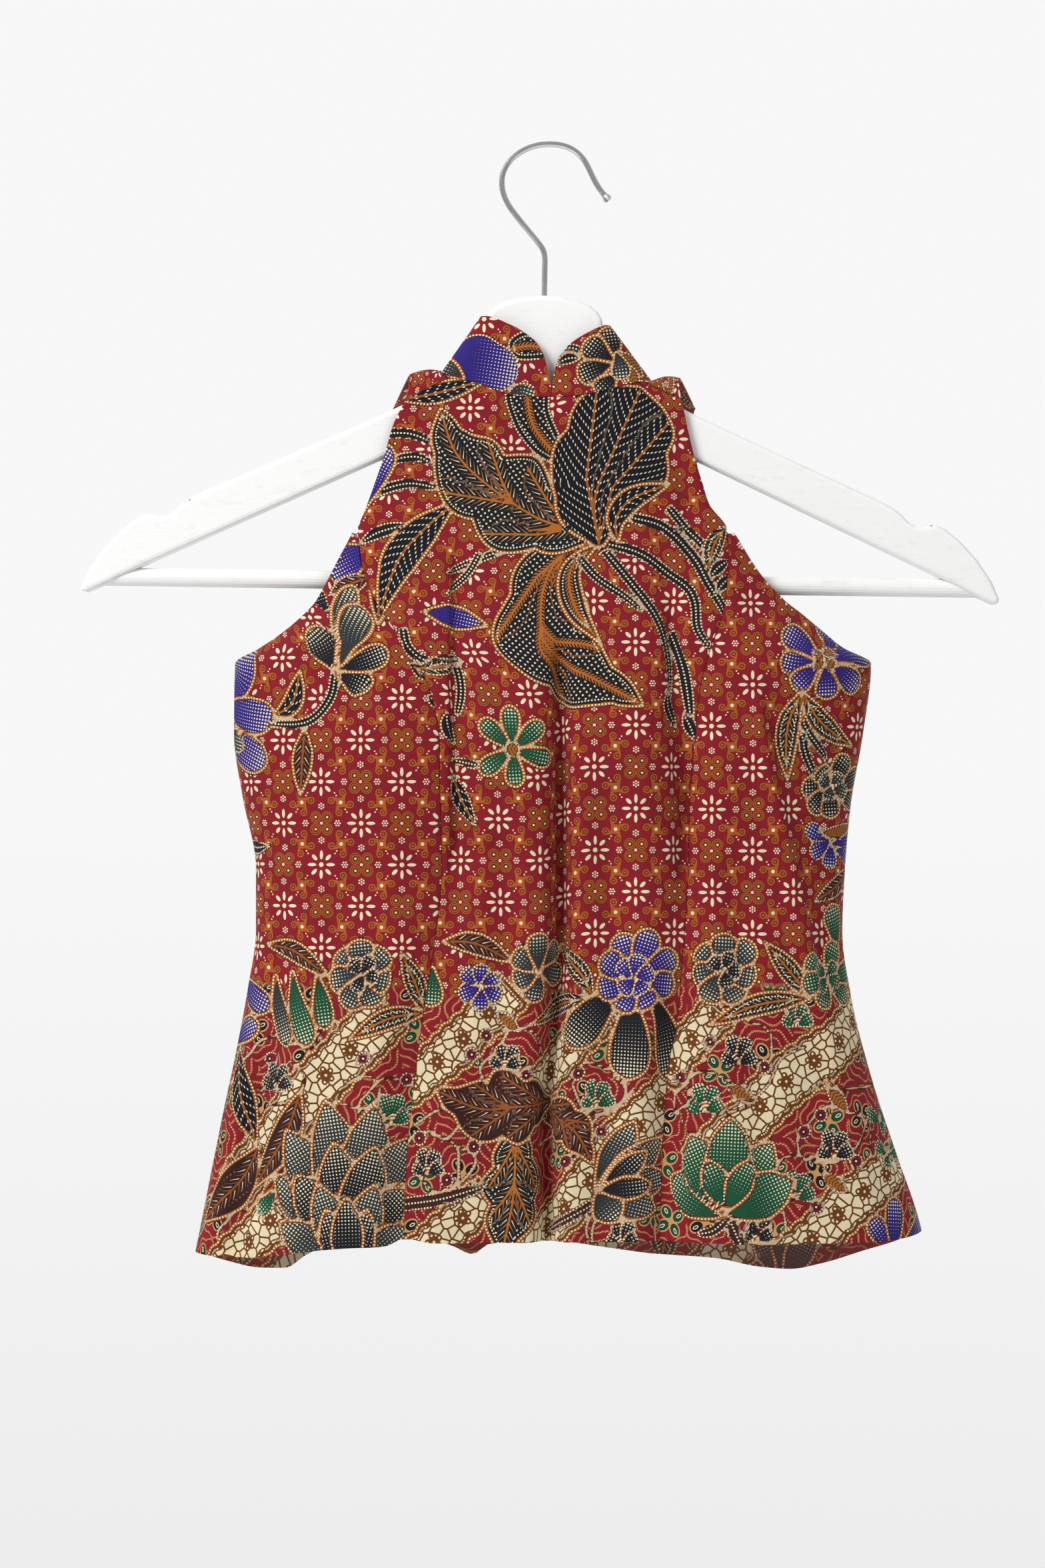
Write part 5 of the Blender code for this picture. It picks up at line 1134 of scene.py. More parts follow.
def back_sheet(side, edge_table, strap, leaf):
    levels = row_levels()
    first, second = BACK_COLUMNS
    top_shares = np.concatenate([
        np.linspace(0, BACK_NECK_SHARE, first + 1),
        np.linspace(BACK_NECK_SHARE, 1, second + 1)[1:],
    ])
    top = []
    for share in top_shares:
        if share <= BACK_NECK_SHARE:
            top.append(strap_arch(strap, leaf, side, 0.0, share / BACK_NECK_SHARE))
        else:
            along = NECK_BACK_SHARE * (1 - share) / (1 - BACK_NECK_SHARE)
            seam = neck_seam(leaf, side, along, False)
            top.append(seam + np.array([0.0, 0.0, -SEAM_GAP]))
    top = np.array(top)
    top[-1, 0] = side * SEAM_GAP / 2
    body = len(levels)
    grid = np.zeros((body + STRAP_ROWS, len(top_shares), 3))
    steps = np.linspace(0, 1, len(top_shares))
    crowded = 1 - np.cos(steps * math.pi / 2)
    sideways = steps + (crowded - steps) * BACK_EDGE_CROWDING
    for row, level in enumerate(levels):
        high = smooth_step((level - UNDERARM) / BACK_SPREAD)
        shares = sideways + (top_shares - sideways) * high
        edge = float(value_at(edge_table, "x", level))
        x = edge + (side * SEAM_GAP / 2 - edge) * shares
        hem = value_at(BACK_HEM, "z", x, by="x")
        z = level + hem_pull(level) * (hem - HEM_ROW)
        pull = top_pull(level)
        flat = np.full(len(x), level)
        y = hem_groove(back_y(x, flat), z - hem, -1)
        y = y + pull * (top[:, 1] - back_y(top[:, 0], np.full(len(x), TOP_ROW)))
        x = x + pull * (top[:, 0] - (edge + (side * SEAM_GAP / 2 - edge) * top_shares))
        z = z + pull * (top[:, 2] - level)
        grid[row] = np.column_stack([x, y, z])
    grid[:body, 0, 1] += SEAM_GAP / 2
    for extra in range(STRAP_ROWS):
        turn = (extra + 1) / STRAP_ROWS
        for column in range(len(top_shares)):
            point = strap_arch(strap, leaf, side, turn, min(column / first, 1.0))
            if extra == STRAP_ROWS - 1:
                point = point + np.array([0.0, 0.0, SEAM_GAP])
            grid[body + extra, column] = point
    filled = np.ones(grid.shape[:2], bool)
    filled[body - 1:, first:] = False
    directions = np.zeros_like(grid)
    directions[:body] = inward(grid[:body], side > 0)
    directions[body - 1:, : first + 1] = inward(grid[body - 1:, : first + 1], side > 0)
    directions[body - 1] = (0.0, -1.0, 0.0)
    directions[-1] = (0.0, 1.0, 0.0)
    mitre_side_seam(directions, levels, side)
    inner = grid + BODY_CLOTH * directions
    u = np.zeros(grid.shape[:2])
    v = np.zeros(grid.shape[:2])
    u[:body] = cloth_u(grid[:body], side * SEAM_GAP / 2)
    v[:body] = grid[:body, :, 2]
    u[body:] = u[body - 1]
    runs = np.linalg.norm(np.diff(grid[body - 1:], axis=0), axis=2)
    v[body:] = v[body - 1] + np.cumsum(runs, axis=0)
    straps = np.zeros(grid.shape[:2], bool)
    straps[body:, : first + 1] = True
    return Sheet(grid, inner, filled, u, v, straps)


def collar_sheet(side, leaf):
    """One half of the collar, from the centre front round the side fold to the centre back."""
    front_count, back_count = COLLAR_COLUMNS
    steps = np.linspace(0, 1, front_count + 1)
    stations = [(1 - (1 - step) ** 1.8, True) for step in steps]
    steps = np.linspace(0, 1, back_count + 1)[1:]
    stations += [(1 - step**1.8, False) for step in steps]
    outer = np.zeros((COLLAR_ROWS + 1, len(stations), 3))
    side_top = leaf.share_points[-1].top
    for column, (share, at_front) in enumerate(stations):
        base = neck_seam(leaf, side, share, at_front)[2]
        if at_front:
            top = float(value_at(leaf.share_points, "top", share, by="share"))
        else:
            heights = [CENTRE_BACK_TOP, leaf.back_top, side_top]
            top = float(curve_through([0, NECK_BACK_SHARE, 1], heights, share))
        for row in range(COLLAR_ROWS + 1):
            z = base + (top - base) * row / COLLAR_ROWS
            outer[row, column] = collar_point(leaf, side, share, z, at_front)
    outer[:, 0, 0] += side * SEAM_GAP / 2
    outer[:, -1, 0] += side * SEAM_GAP / 2
    directions = inward(outer, side > 0)
    directions[:, :, 2] = 0.0
    directions[:, 0] = (0.0, 1.0, 0.0)
    directions[:, -1] = (0.0, -1.0, 0.0)
    directions /= np.linalg.norm(directions, axis=2, keepdims=True)
    inner = outer + COLLAR_CLOTH * directions
    flat = outer[:, :, [0, 2]].copy()
    base, way = flat[0, front_count].copy(), flat[-1, front_count] - flat[0, front_count]
    way /= np.linalg.norm(way)
    behind = flat[:, front_count + 1:] - base
    flat[:, front_count + 1:] = base + 2 * (behind @ way)[:, :, None] * way - behind
    return Sheet(outer, inner, np.ones(outer.shape[:2], bool), flat[:, :, 0], flat[:, :, 1],
                 np.zeros(outer.shape[:2], bool))


def shifted(motif, shift):
    """The motif moved sideways by one repeat of the back's print."""
    def move(points):
        return [(x + shift, z) for x, z in points]

    if isinstance(motif, Cloud):
        return motif._replace(x=motif.x + shift)
    if isinstance(motif, Flower):
        return motif._replace(base=move([motif.base])[0], tips=move(motif.tips))
    return motif._replace(points=move(motif.points), ribs=[move(rib) for rib in motif.ribs])


def smooth_path(points, steps, closed=False):
    """A smooth path through points, with the same number of steps between each two."""
    points = np.asarray(points, float)
    if closed:
        padded = np.concatenate([points[-1:], points, points[:2]])
    else:
        padded = np.concatenate([2 * points[:1] - points[1:2], points, 2 * points[-1:] - points[-2:-1]])
    path = []
    for k in range(len(padded) - 3):
        a, b, c, d = padded[k:k + 4]
        for t in np.linspace(0, 1, steps, endpoint=False):
            path.append(0.5 * (2 * b + (c - a) * t + (2 * a - 5 * b + 4 * c - d) * t**2
                               + (3 * b - a - 3 * c + d) * t**3))
    if not closed:
        path.append(padded[-2])
    return np.array(path)


def motif_outline(motif, points):
    """The closed outline of a motif whose places have been moved onto the cloth, and its ribs."""
    if motif.kind == "shape":
        return smooth_path(points, CLOSED_STEPS, closed=True), None
    steps = FINE_STEPS if motif.kind in LOBES or motif.kind == "ribbon" else OUTLINE_STEPS
    centre = smooth_path(points, OUTLINE_STEPS)
    runs = np.concatenate([[0], np.cumsum(np.linalg.norm(np.diff(centre, axis=0), axis=1))])
    at = np.linspace(0, runs[-1], steps)
    centre = np.column_stack([np.interp(at, runs, centre[:, 0]), np.interp(at, runs, centre[:, 1])])
    along = np.gradient(centre, axis=0)
    along /= np.linalg.norm(along, axis=1, keepdims=True)
    across = np.column_stack([-along[:, 1], along[:, 0]])
    table = OUTLINES[motif.kind]
    width = motif.width * curve_through([t for t, _ in table], [w for _, w in table], at / runs[-1])
    sides = []
    for side in (1, -1):
        wave = 0.0
        if motif.kind == "ribbon":
            wave = SCALLOP_DEPTH * np.abs(np.sin(math.pi * (at + side * SCALLOP_PITCH / 4) / SCALLOP_PITCH))
        elif motif.kind in LOBES:
            lobes = np.abs(np.sin(math.pi * (LOBES[motif.kind] * at / runs[-1] + side * 0.12)))
            wave = width * LOBE_DEPTH[motif.kind] * (2 * lobes - 1)
        sides.append(centre + across * (side * (width + wave))[:, None])
    ribs = [centre]
    if motif.kind in LOBES:
        for first, last in RIB_SHARES[motif.kind]:
            start, end = int(first * (steps - 1)), int(last * (steps - 1))
            for side in (1, -1):
                reach = side * RIB_REACH * width[end]
                halfway = (start + end) // 2
                ribs.append(np.array([centre[start], centre[halfway] + across[halfway] * 0.42 * reach,
                                      centre[end] + across[end] * reach]))
    return np.concatenate([sides[0], sides[1][::-1]]), ribs


def inside_outline(u, v, outline):
    """Whether each point lies inside the closed outline."""
    inside = np.zeros(u.shape, bool)
    for (au, av), (bu, bv) in zip(outline, np.roll(outline, -1, axis=0)):
        crosses = (av > v) != (bv > v)
        if crosses.any():
            at = au + (v - av) / (bv - av if bv != av else 1e-9) * (bu - au)
            inside ^= crosses & (u < at)
    return inside


def rib_places(u, v, ribs):
    """Each point's place along and across its nearest rib, and its share of that rib's length."""
    best = np.full(u.shape, np.inf)
    along, across, share = np.zeros(u.shape), np.zeros(u.shape), np.zeros(u.shape)
    for rib in ribs:
        gap, side, walked, length = path_distance(u, v, rib)
        start, first = rib[0], rib[1] - rib[0]
        first = first / np.linalg.norm(first)
        before = np.minimum((u - start[0]) * first[0] + (v - start[1]) * first[1], 0.0)
        end, last = rib[-1], rib[-1] - rib[-2]
        last = last / np.linalg.norm(last)
        after = np.maximum((u - end[0]) * last[0] + (v - end[1]) * last[1], 0.0)
        after = np.where(walked > 0.999 * length, after, 0.0)
        nearer = gap < best
        best = np.where(nearer, gap, best)
        along = np.where(nearer, walked + before + after, along)
        across = np.where(nearer, side, across)
        share = np.where(nearer, walked / length, share)
    return along, across, share


def cloud_line(cloud):
    """The wavy line that goes round a small flower of the border."""
    turn = np.radians(np.linspace(cloud.start, cloud.end, CLOUD_STEPS))
    radius = cloud.radius * (1 + CLOUD_SWELL * np.abs(np.sin(CLOUD_WAVES * turn)))
    return list(zip(cloud.x + radius * np.cos(turn), cloud.z + radius * np.sin(turn)))


class Painter:
    """Lays motifs over one sheet of cloth, and keeps for each point what the material draws there."""

    def __init__(self, sheet, among):
        self.u, self.v = sheet.u.ravel(), sheet.v.ravel()
        away = VIEW_DISTANCE / (VIEW_DISTANCE + sheet.outer[:, :, 1].ravel())
        self.seen_x = VIEW_CENTRE[0] + (sheet.outer[:, :, 0].ravel() - VIEW_CENTRE[0]) * away
        self.seen_z = VIEW_CENTRE[1] + (sheet.outer[:, :, 2].ravel() - VIEW_CENTRE[1]) * away
        self.among = np.flatnonzero(among.ravel())
        count = len(self.u)
        self.line = np.column_stack([np.full(count, 9.0), np.full(count, 9.0), np.zeros(count)])
        self.inner = np.zeros((count, 3))
        self.depth = np.full(count, 9.0)
        self.dye = np.zeros((count, 4))
        self.second = np.ones((count, 4))

    def on_cloth(self, points):
        """Moves places that were read in the view onto the cloth's own measure."""
        moved = []
        for x, z in points:
            gap = (self.seen_x[self.among] - x) ** 2 + (self.seen_z[self.among] - z) ** 2
            near = self.among[np.argmin(gap)]
            moved.append((self.u[near] + x - self.seen_x[near], self.v[near] + z - self.seen_z[near]))
        return np.array(moved)

    def lay(self, motif):
        outline, ribs = motif_outline(motif, self.on_cloth(motif.points))
        if motif.ribs:
            ribs = [smooth_path(self.on_cloth(rib), CLOSED_STEPS) for rib in motif.ribs]
        low, high = outline.min(axis=0) - REACH, outline.max(axis=0) + REACH
        near = np.flatnonzero((self.u > low[0]) & (self.u < high[0]) & (self.v > low[1]) & (self.v < high[1]))
        if len(near) == 0:
            return
        u, v = self.u[near], self.v[near]
        gap, _, walked, length = path_distance(u, v, np.concatenate([outline, outline[:1]]))
        inside = inside_outline(u, v, outline)
        signed = np.where(inside, -gap, gap)
        if motif.width < SMALL_WIDTH:
            gap = gap + FINE_LINE
        beads = walked * round(length / BEAD_PITCH) / length
        redrawn = inside | ((gap < REACH) & (gap < self.line[near, 1]))
        chosen = near[redrawn]
        self.line[chosen] = np.column_stack([signed, gap, beads])[redrawn]
        if motif.kind == "line":
            return
        owned = inside | ((gap < REACH) & (self.depth[near] > 0) & (gap < self.depth[near]))
        chosen = near[owned]
        finish = FINISHES[motif.finish]
        self.inner[chosen] = np.column_stack(rib_places(u[owned], v[owned], ribs))
        self.depth[chosen] = signed[owned]
        self.dye[chosen, :3] = linear(finish.dye)
        self.dye[chosen, 3] = finish.pattern / PATTERN_CODES
        self.second[chosen, :3] = linear(finish.second)


def paint(sheet, motifs, among=None):
    """A painter that has laid all the motifs of one sheet, flowers petal by petal."""
    painter = Painter(sheet, sheet.filled & ~sheet.straps if among is None else among)
    for motif in motifs:
        if isinstance(motif, Flower):
            for x, z in motif.tips:
                painter.lay(Motif(motif.kind, motif.finish, motif.width, [motif.base, (x, z)]))
        elif isinstance(motif, Cloud):
            painter.lay(Motif("line", "", LINE_WIDTH, cloud_line(motif)))
        else:
            painter.lay(motif)
    return painter


def cloth_object(name, sheet, painter, star, border_level):
    """A closed wall of cloth with the print's measures kept on its points."""
    outer, inner, filled = sheet.outer, sheet.inner, sheet.filled
    rows, columns = outer.shape[:2]
    count = rows * columns
    index = np.arange(count).reshape(rows, columns)
    cells = filled[:-1, :-1]
    quads = np.stack([index[:-1, :-1], index[:-1, 1:], index[1:, 1:], index[1:, :-1]], axis=-1)
    edges = {}
    faces = quads[cells]
    for a, b, c, d in faces.tolist():
        for first, second in ((a, b), (b, c), (c, d), (d, a)):
            if (second, first) in edges:
                del edges[(second, first)]
            else:
                edges[(first, second)] = True
    rim = [(second, first, first + count, second + count) for first, second in edges]
    back = faces[:, ::-1] + count
    points = np.concatenate([outer.reshape(-1, 3), inner.reshape(-1, 3)])
    every = faces.tolist() + back.tolist() + rim
    corner = points[faces[:, :3]]
    normal = np.cross(corner[:, 1] - corner[:, 0], corner[:, 2] - corner[:, 0])
    if np.mean(np.sum(normal * (points[faces[:, 0]] - points[faces[:, 0] + count]), axis=1)) < 0:
        every = [face[::-1] for face in every]
    used = np.unique(np.array([corner for face in every for corner in face]))
    renumber = np.zeros(2 * count, int)
    renumber[used] = np.arange(len(used))
    mesh = bpy.data.meshes.new(name)
    mesh.from_pydata((points[used] * MM).tolist(), [], [[int(renumber[k]) for k in face] for face in every])
    reverse = (used >= count).astype(float)
    source = used % count
    border = smooth_step((border_level + 1 - painter.v) / 2)
    place = np.column_stack([painter.u[source] - star[0], painter.v[source] - star[1],
                             border[source]])
    depth = np.column_stack([painter.depth[source], reverse, np.zeros(len(used))])
    for attribute, kind, values in (
        ("cloth_place", "FLOAT_VECTOR", place), ("outline", "FLOAT_VECTOR", painter.line[source]),
        ("inner_place", "FLOAT_VECTOR", painter.inner[source]), ("depth_side", "FLOAT_VECTOR", depth),
        ("dye", "FLOAT_COLOR", painter.dye[source]), ("second_dye", "FLOAT_COLOR", painter.second[source]),
    ):
        field = "vector" if kind == "FLOAT_VECTOR" else "color"
        mesh.attributes.new(attribute, kind, "POINT").data.foreach_set(field, values.ravel())
    mesh.update()
    mesh.shade_smooth()
    mesh.set_sharp_from_angle(angle=SHARP_EDGE)
    made = bpy.data.objects.new(name, mesh)
    bpy.context.scene.collection.objects.link(made)
    return made


def add(tree, kind, *inputs, output=0, **settings):
    """Adds a node with its settings and inputs, and returns one of its outputs, or all for None."""
    if kind.isupper():
        kind, settings["operation"] = "Math", kind
    node = tree.nodes.new("ShaderNode" + kind)
    for name, value in settings.items():
        setattr(node, name, value)
    for socket, value in zip(node.inputs, inputs):
        if isinstance(value, bpy.types.NodeSocket):
            tree.links.new(value, socket)
        elif value is not None:
            socket.default_value = value
    return node.outputs if output is None else node.outputs[output]


def new_material(name):
    made = bpy.data.materials.new(name)
    made.use_nodes = True
    tree = made.node_tree
    return made, tree, tree.nodes["Principled BSDF"]


def centred(tree, value, pitch):
    """A repeat of the given pitch, measured from the middle of each repeat, in millimetres."""
    share = add(tree, "FRACT", add(tree, "DIVIDE", value, pitch))
    return add(tree, "MULTIPLY", add(tree, "SUBTRACT", share, 0.5), pitch)


def turned(tree, x, z, angle):
    """The two places measured along axes that are turned by an angle."""
    cosine, sine = math.cos(angle), math.sin(angle)
    return (add(tree, "ADD", add(tree, "MULTIPLY", x, cosine), add(tree, "MULTIPLY", z, sine)),
            add(tree, "SUBTRACT", add(tree, "MULTIPLY", z, cosine), add(tree, "MULTIPLY", x, sine)))


def spot(tree, x, z, radius, centre=(0.0, 0.0)):
    """1 within a round spot."""
    point = add(tree, "CombineXYZ", x, z)
    gap = add(tree, "VectorMath", point, (centre[0], centre[1], 0.0), operation="DISTANCE", output=1)
    return add(tree, "LESS_THAN", gap, radius)


def petal_ring(tree, x, z, count, centre, half_length, half_width):
    """1 within a ring of pointed oval petals, the first of which points along x."""
    radius = add(tree, "VectorMath", add(tree, "CombineXYZ", x, z), operation="LENGTH", output=1)
    folded = add(tree, "PINGPONG", add(tree, "ARCTAN2", z, x), math.pi / count)
    along = add(tree, "MULTIPLY", radius, add(tree, "COSINE", folded))
    across = add(tree, "MULTIPLY", radius, add(tree, "SINE", folded))
    oval = add(tree, "CombineXYZ",
               add(tree, "DIVIDE", add(tree, "SUBTRACT", along, centre), half_length),
               add(tree, "DIVIDE", across, half_width))
    return add(tree, "LESS_THAN", add(tree, "VectorMath", oval, operation="LENGTH", output=1), 1.0)


def chain(tree, kind, first, *others):
    """Runs several values through one kind of sum, such as the greatest of them or their product."""
    for other in others:
        first = add(tree, kind, first, other)
    return first


def small_repeat(tree, u, v):
    """The ground's repeat of stars, four-petalled flowers, rosettes and curls, as three masks."""
    a, b = add(tree, "DIVIDE", u, CELL), add(tree, "DIVIDE", v, CELL)
    column, row = add(tree, "ROUND", a), add(tree, "ROUND", b)
    x = add(tree, "MULTIPLY", add(tree, "SUBTRACT", a, column), CELL)
    z = add(tree, "MULTIPLY", add(tree, "SUBTRACT", b, row), CELL)
    is_flower = add(tree, "FLOORED_MODULO", add(tree, "ADD", column, row), 2.0)
    is_star = add(tree, "SUBTRACT", 1.0, is_flower)
    star = chain(tree, "MAXIMUM", petal_ring(tree, x, z, 4, *STAR_PETAL),
                 petal_ring(tree, *turned(tree, x, z, math.pi / 4), 4, *STAR_SIDE_PETAL),
                 spot(tree, x, z, STAR_CENTRE))
    wide, high = add(tree, "ABSOLUTE", x), add(tree, "ABSOLUTE", z)
    place = add(tree, "CombineXYZ", wide, high)
    lobe = add(tree, "VectorMath", place, (FLOWER_LOBE, FLOWER_LOBE, 0.0), operation="DISTANCE", output=1)
    flower = add(tree, "LESS_THAN", lobe, FLOWER_RADIUS)
    veins = chain(tree, "MAXIMUM",
                  add(tree, "LESS_THAN", add(tree, "ABSOLUTE", add(tree, "SUBTRACT", lobe, 1.05)), 0.26),
                  add(tree, "LESS_THAN", add(tree, "ABSOLUTE", add(tree, "SUBTRACT", lobe, 2.1)), 0.16))
    eyes = chain(tree, "MAXIMUM", add(tree, "LESS_THAN", lobe, 0.5), spot(tree, x, z, 0.7))
    bigger = add(tree, "SUBTRACT", add(tree, "MAXIMUM", wide, high), ROSETTE_PLACE)
    smaller = add(tree, "MINIMUM", wide, high)
    rosette = chain(tree, "MAXIMUM", petal_ring(tree, bigger, smaller, 6, 1.22, 0.42, 0.42),
                    spot(tree, bigger, smaller, 0.42))
    swapped = add(tree, "FLOORED_MODULO", add(tree, "ADD", add(tree, "FLOOR", a), add(tree, "FLOOR", b)), 2.0)
    mirror = add(tree, "SUBTRACT", 1.0, add(tree, "MULTIPLY", swapped, 2.0))
    curl_x, curl_z = turned(tree, add(tree, "MULTIPLY", centred(tree, u, CELL), mirror),
                            centred(tree, v, CELL), CURL_LEAN)
    angle = centred(tree, add(tree, "ADD", add(tree, "ARCTAN2", curl_z, curl_x), math.pi / 4), math.pi / 2)
    radius = add(tree, "VectorMath", add(tree, "CombineXYZ", curl_x, curl_z), operation="LENGTH", output=1)
    along = add(tree, "MULTIPLY", radius, add(tree, "COSINE", angle))
    across = add(tree, "MULTIPLY", radius, add(tree, "SINE", angle))
    end = add(tree, "VectorMath", add(tree, "CombineXYZ", along, across), (CURL_REACH, 0.0, 0.0),
              operation="DISTANCE", output=1)
    arm = chain(tree, "MULTIPLY", add(tree, "LESS_THAN", along, CURL_REACH),
                add(tree, "LESS_THAN", add(tree, "ABSOLUTE", add(tree, "SUBTRACT", across, 1.1)), 0.72))
    curl = chain(tree, "MAXIMUM", add(tree, "LESS_THAN", end, CURL_RADIUS), arm,
                 spot(tree, curl_x, curl_z, CURL_SPOT))
    spiral = chain(tree, "MULTIPLY", add(tree, "GREATER_THAN", along, CURL_REACH - 1.6),
                   add(tree, "LESS_THAN", add(tree, "ABSOLUTE", add(tree, "SUBTRACT", end, 0.85)), 0.2))
    slant_x, slant_z = turned(tree, curl_x, curl_z, math.pi / 4)
    aside = add(tree, "ABSOLUTE", slant_x)
    pair = chain(tree, "MAXIMUM", spot(tree, aside, slant_z, 0.38, (3.9, 0.0)),
                 spot(tree, aside, slant_z, 0.38, (5.4, 0.0)))
    cream = chain(tree, "MAXIMUM", chain(tree, "MULTIPLY", star, is_star),
                  chain(tree, "MULTIPLY", chain(tree, "MAXIMUM", eyes, rosette), is_flower),
                  spot(tree, curl_x, curl_z, 0.85), pair)
    return (cream, chain(tree, "MAXIMUM", chain(tree, "MULTIPLY", flower, is_flower), curl),
            chain(tree, "MAXIMUM", chain(tree, "MULTIPLY", veins, is_flower), spiral))


def border_repeat(tree, u, v):
    """The border's small flowers, their rims and dotted lines, their eyes, and which are green."""
    place = add(tree, "CombineXYZ", u, v)
    cells = add(tree, "TexVoronoi", place, voronoi_dimensions="2D", output=None)
    node = cells[0].node
    node.inputs["Scale"].default_value = 1 / BORDER_PITCH
    node.inputs["Randomness"].default_value = 0.5
    middle = add(tree, "VectorMath", place, cells["Position"], operation="SUBTRACT")
    x, z, _ = add(tree, "SeparateXYZ", middle, output=None)
    x, z = turned(tree, x, z, BORDER_LEAN)
    rims = chain(tree, "MAXIMUM", petal_ring(tree, x, z, 4, *BORDER_RIMS), spot(tree, x, z, 1.6))
    petals = petal_ring(tree, x, z, 4, *BORDER_PETALS)
    eyes = chain(tree, "SUBTRACT", petal_ring(tree, x, z, 4, *BORDER_EYES),
                 petal_ring(tree, x, z, 4, *BORDER_EYE_HOLES))
    angle = add(tree, "ARCTAN2", z, x)
    radius = add(tree, "VectorMath", middle, operation="LENGTH", output=1)
    wave = add(tree, "MULTIPLY", add(tree, "SINE", add(tree, "MULTIPLY", angle, LINE_WAVES)), LINE_WAVE)
    waved = add(tree, "ADD", radius, wave)
    dot = spot(tree, centred(tree, waved, LINE_PITCH),
               centred(tree, add(tree, "MULTIPLY", angle, radius), LINE_DOT_PITCH), LINE_DOT)
    lines = chain(tree, "MULTIPLY", dot, add(tree, "GREATER_THAN", waved, LINES_FROM))
    kind = add(tree, "SeparateColor", cells["Color"])
    return petals, chain(tree, "MAXIMUM", rims, lines), eyes, add(tree, "GREATER_THAN", kind, 0.5)


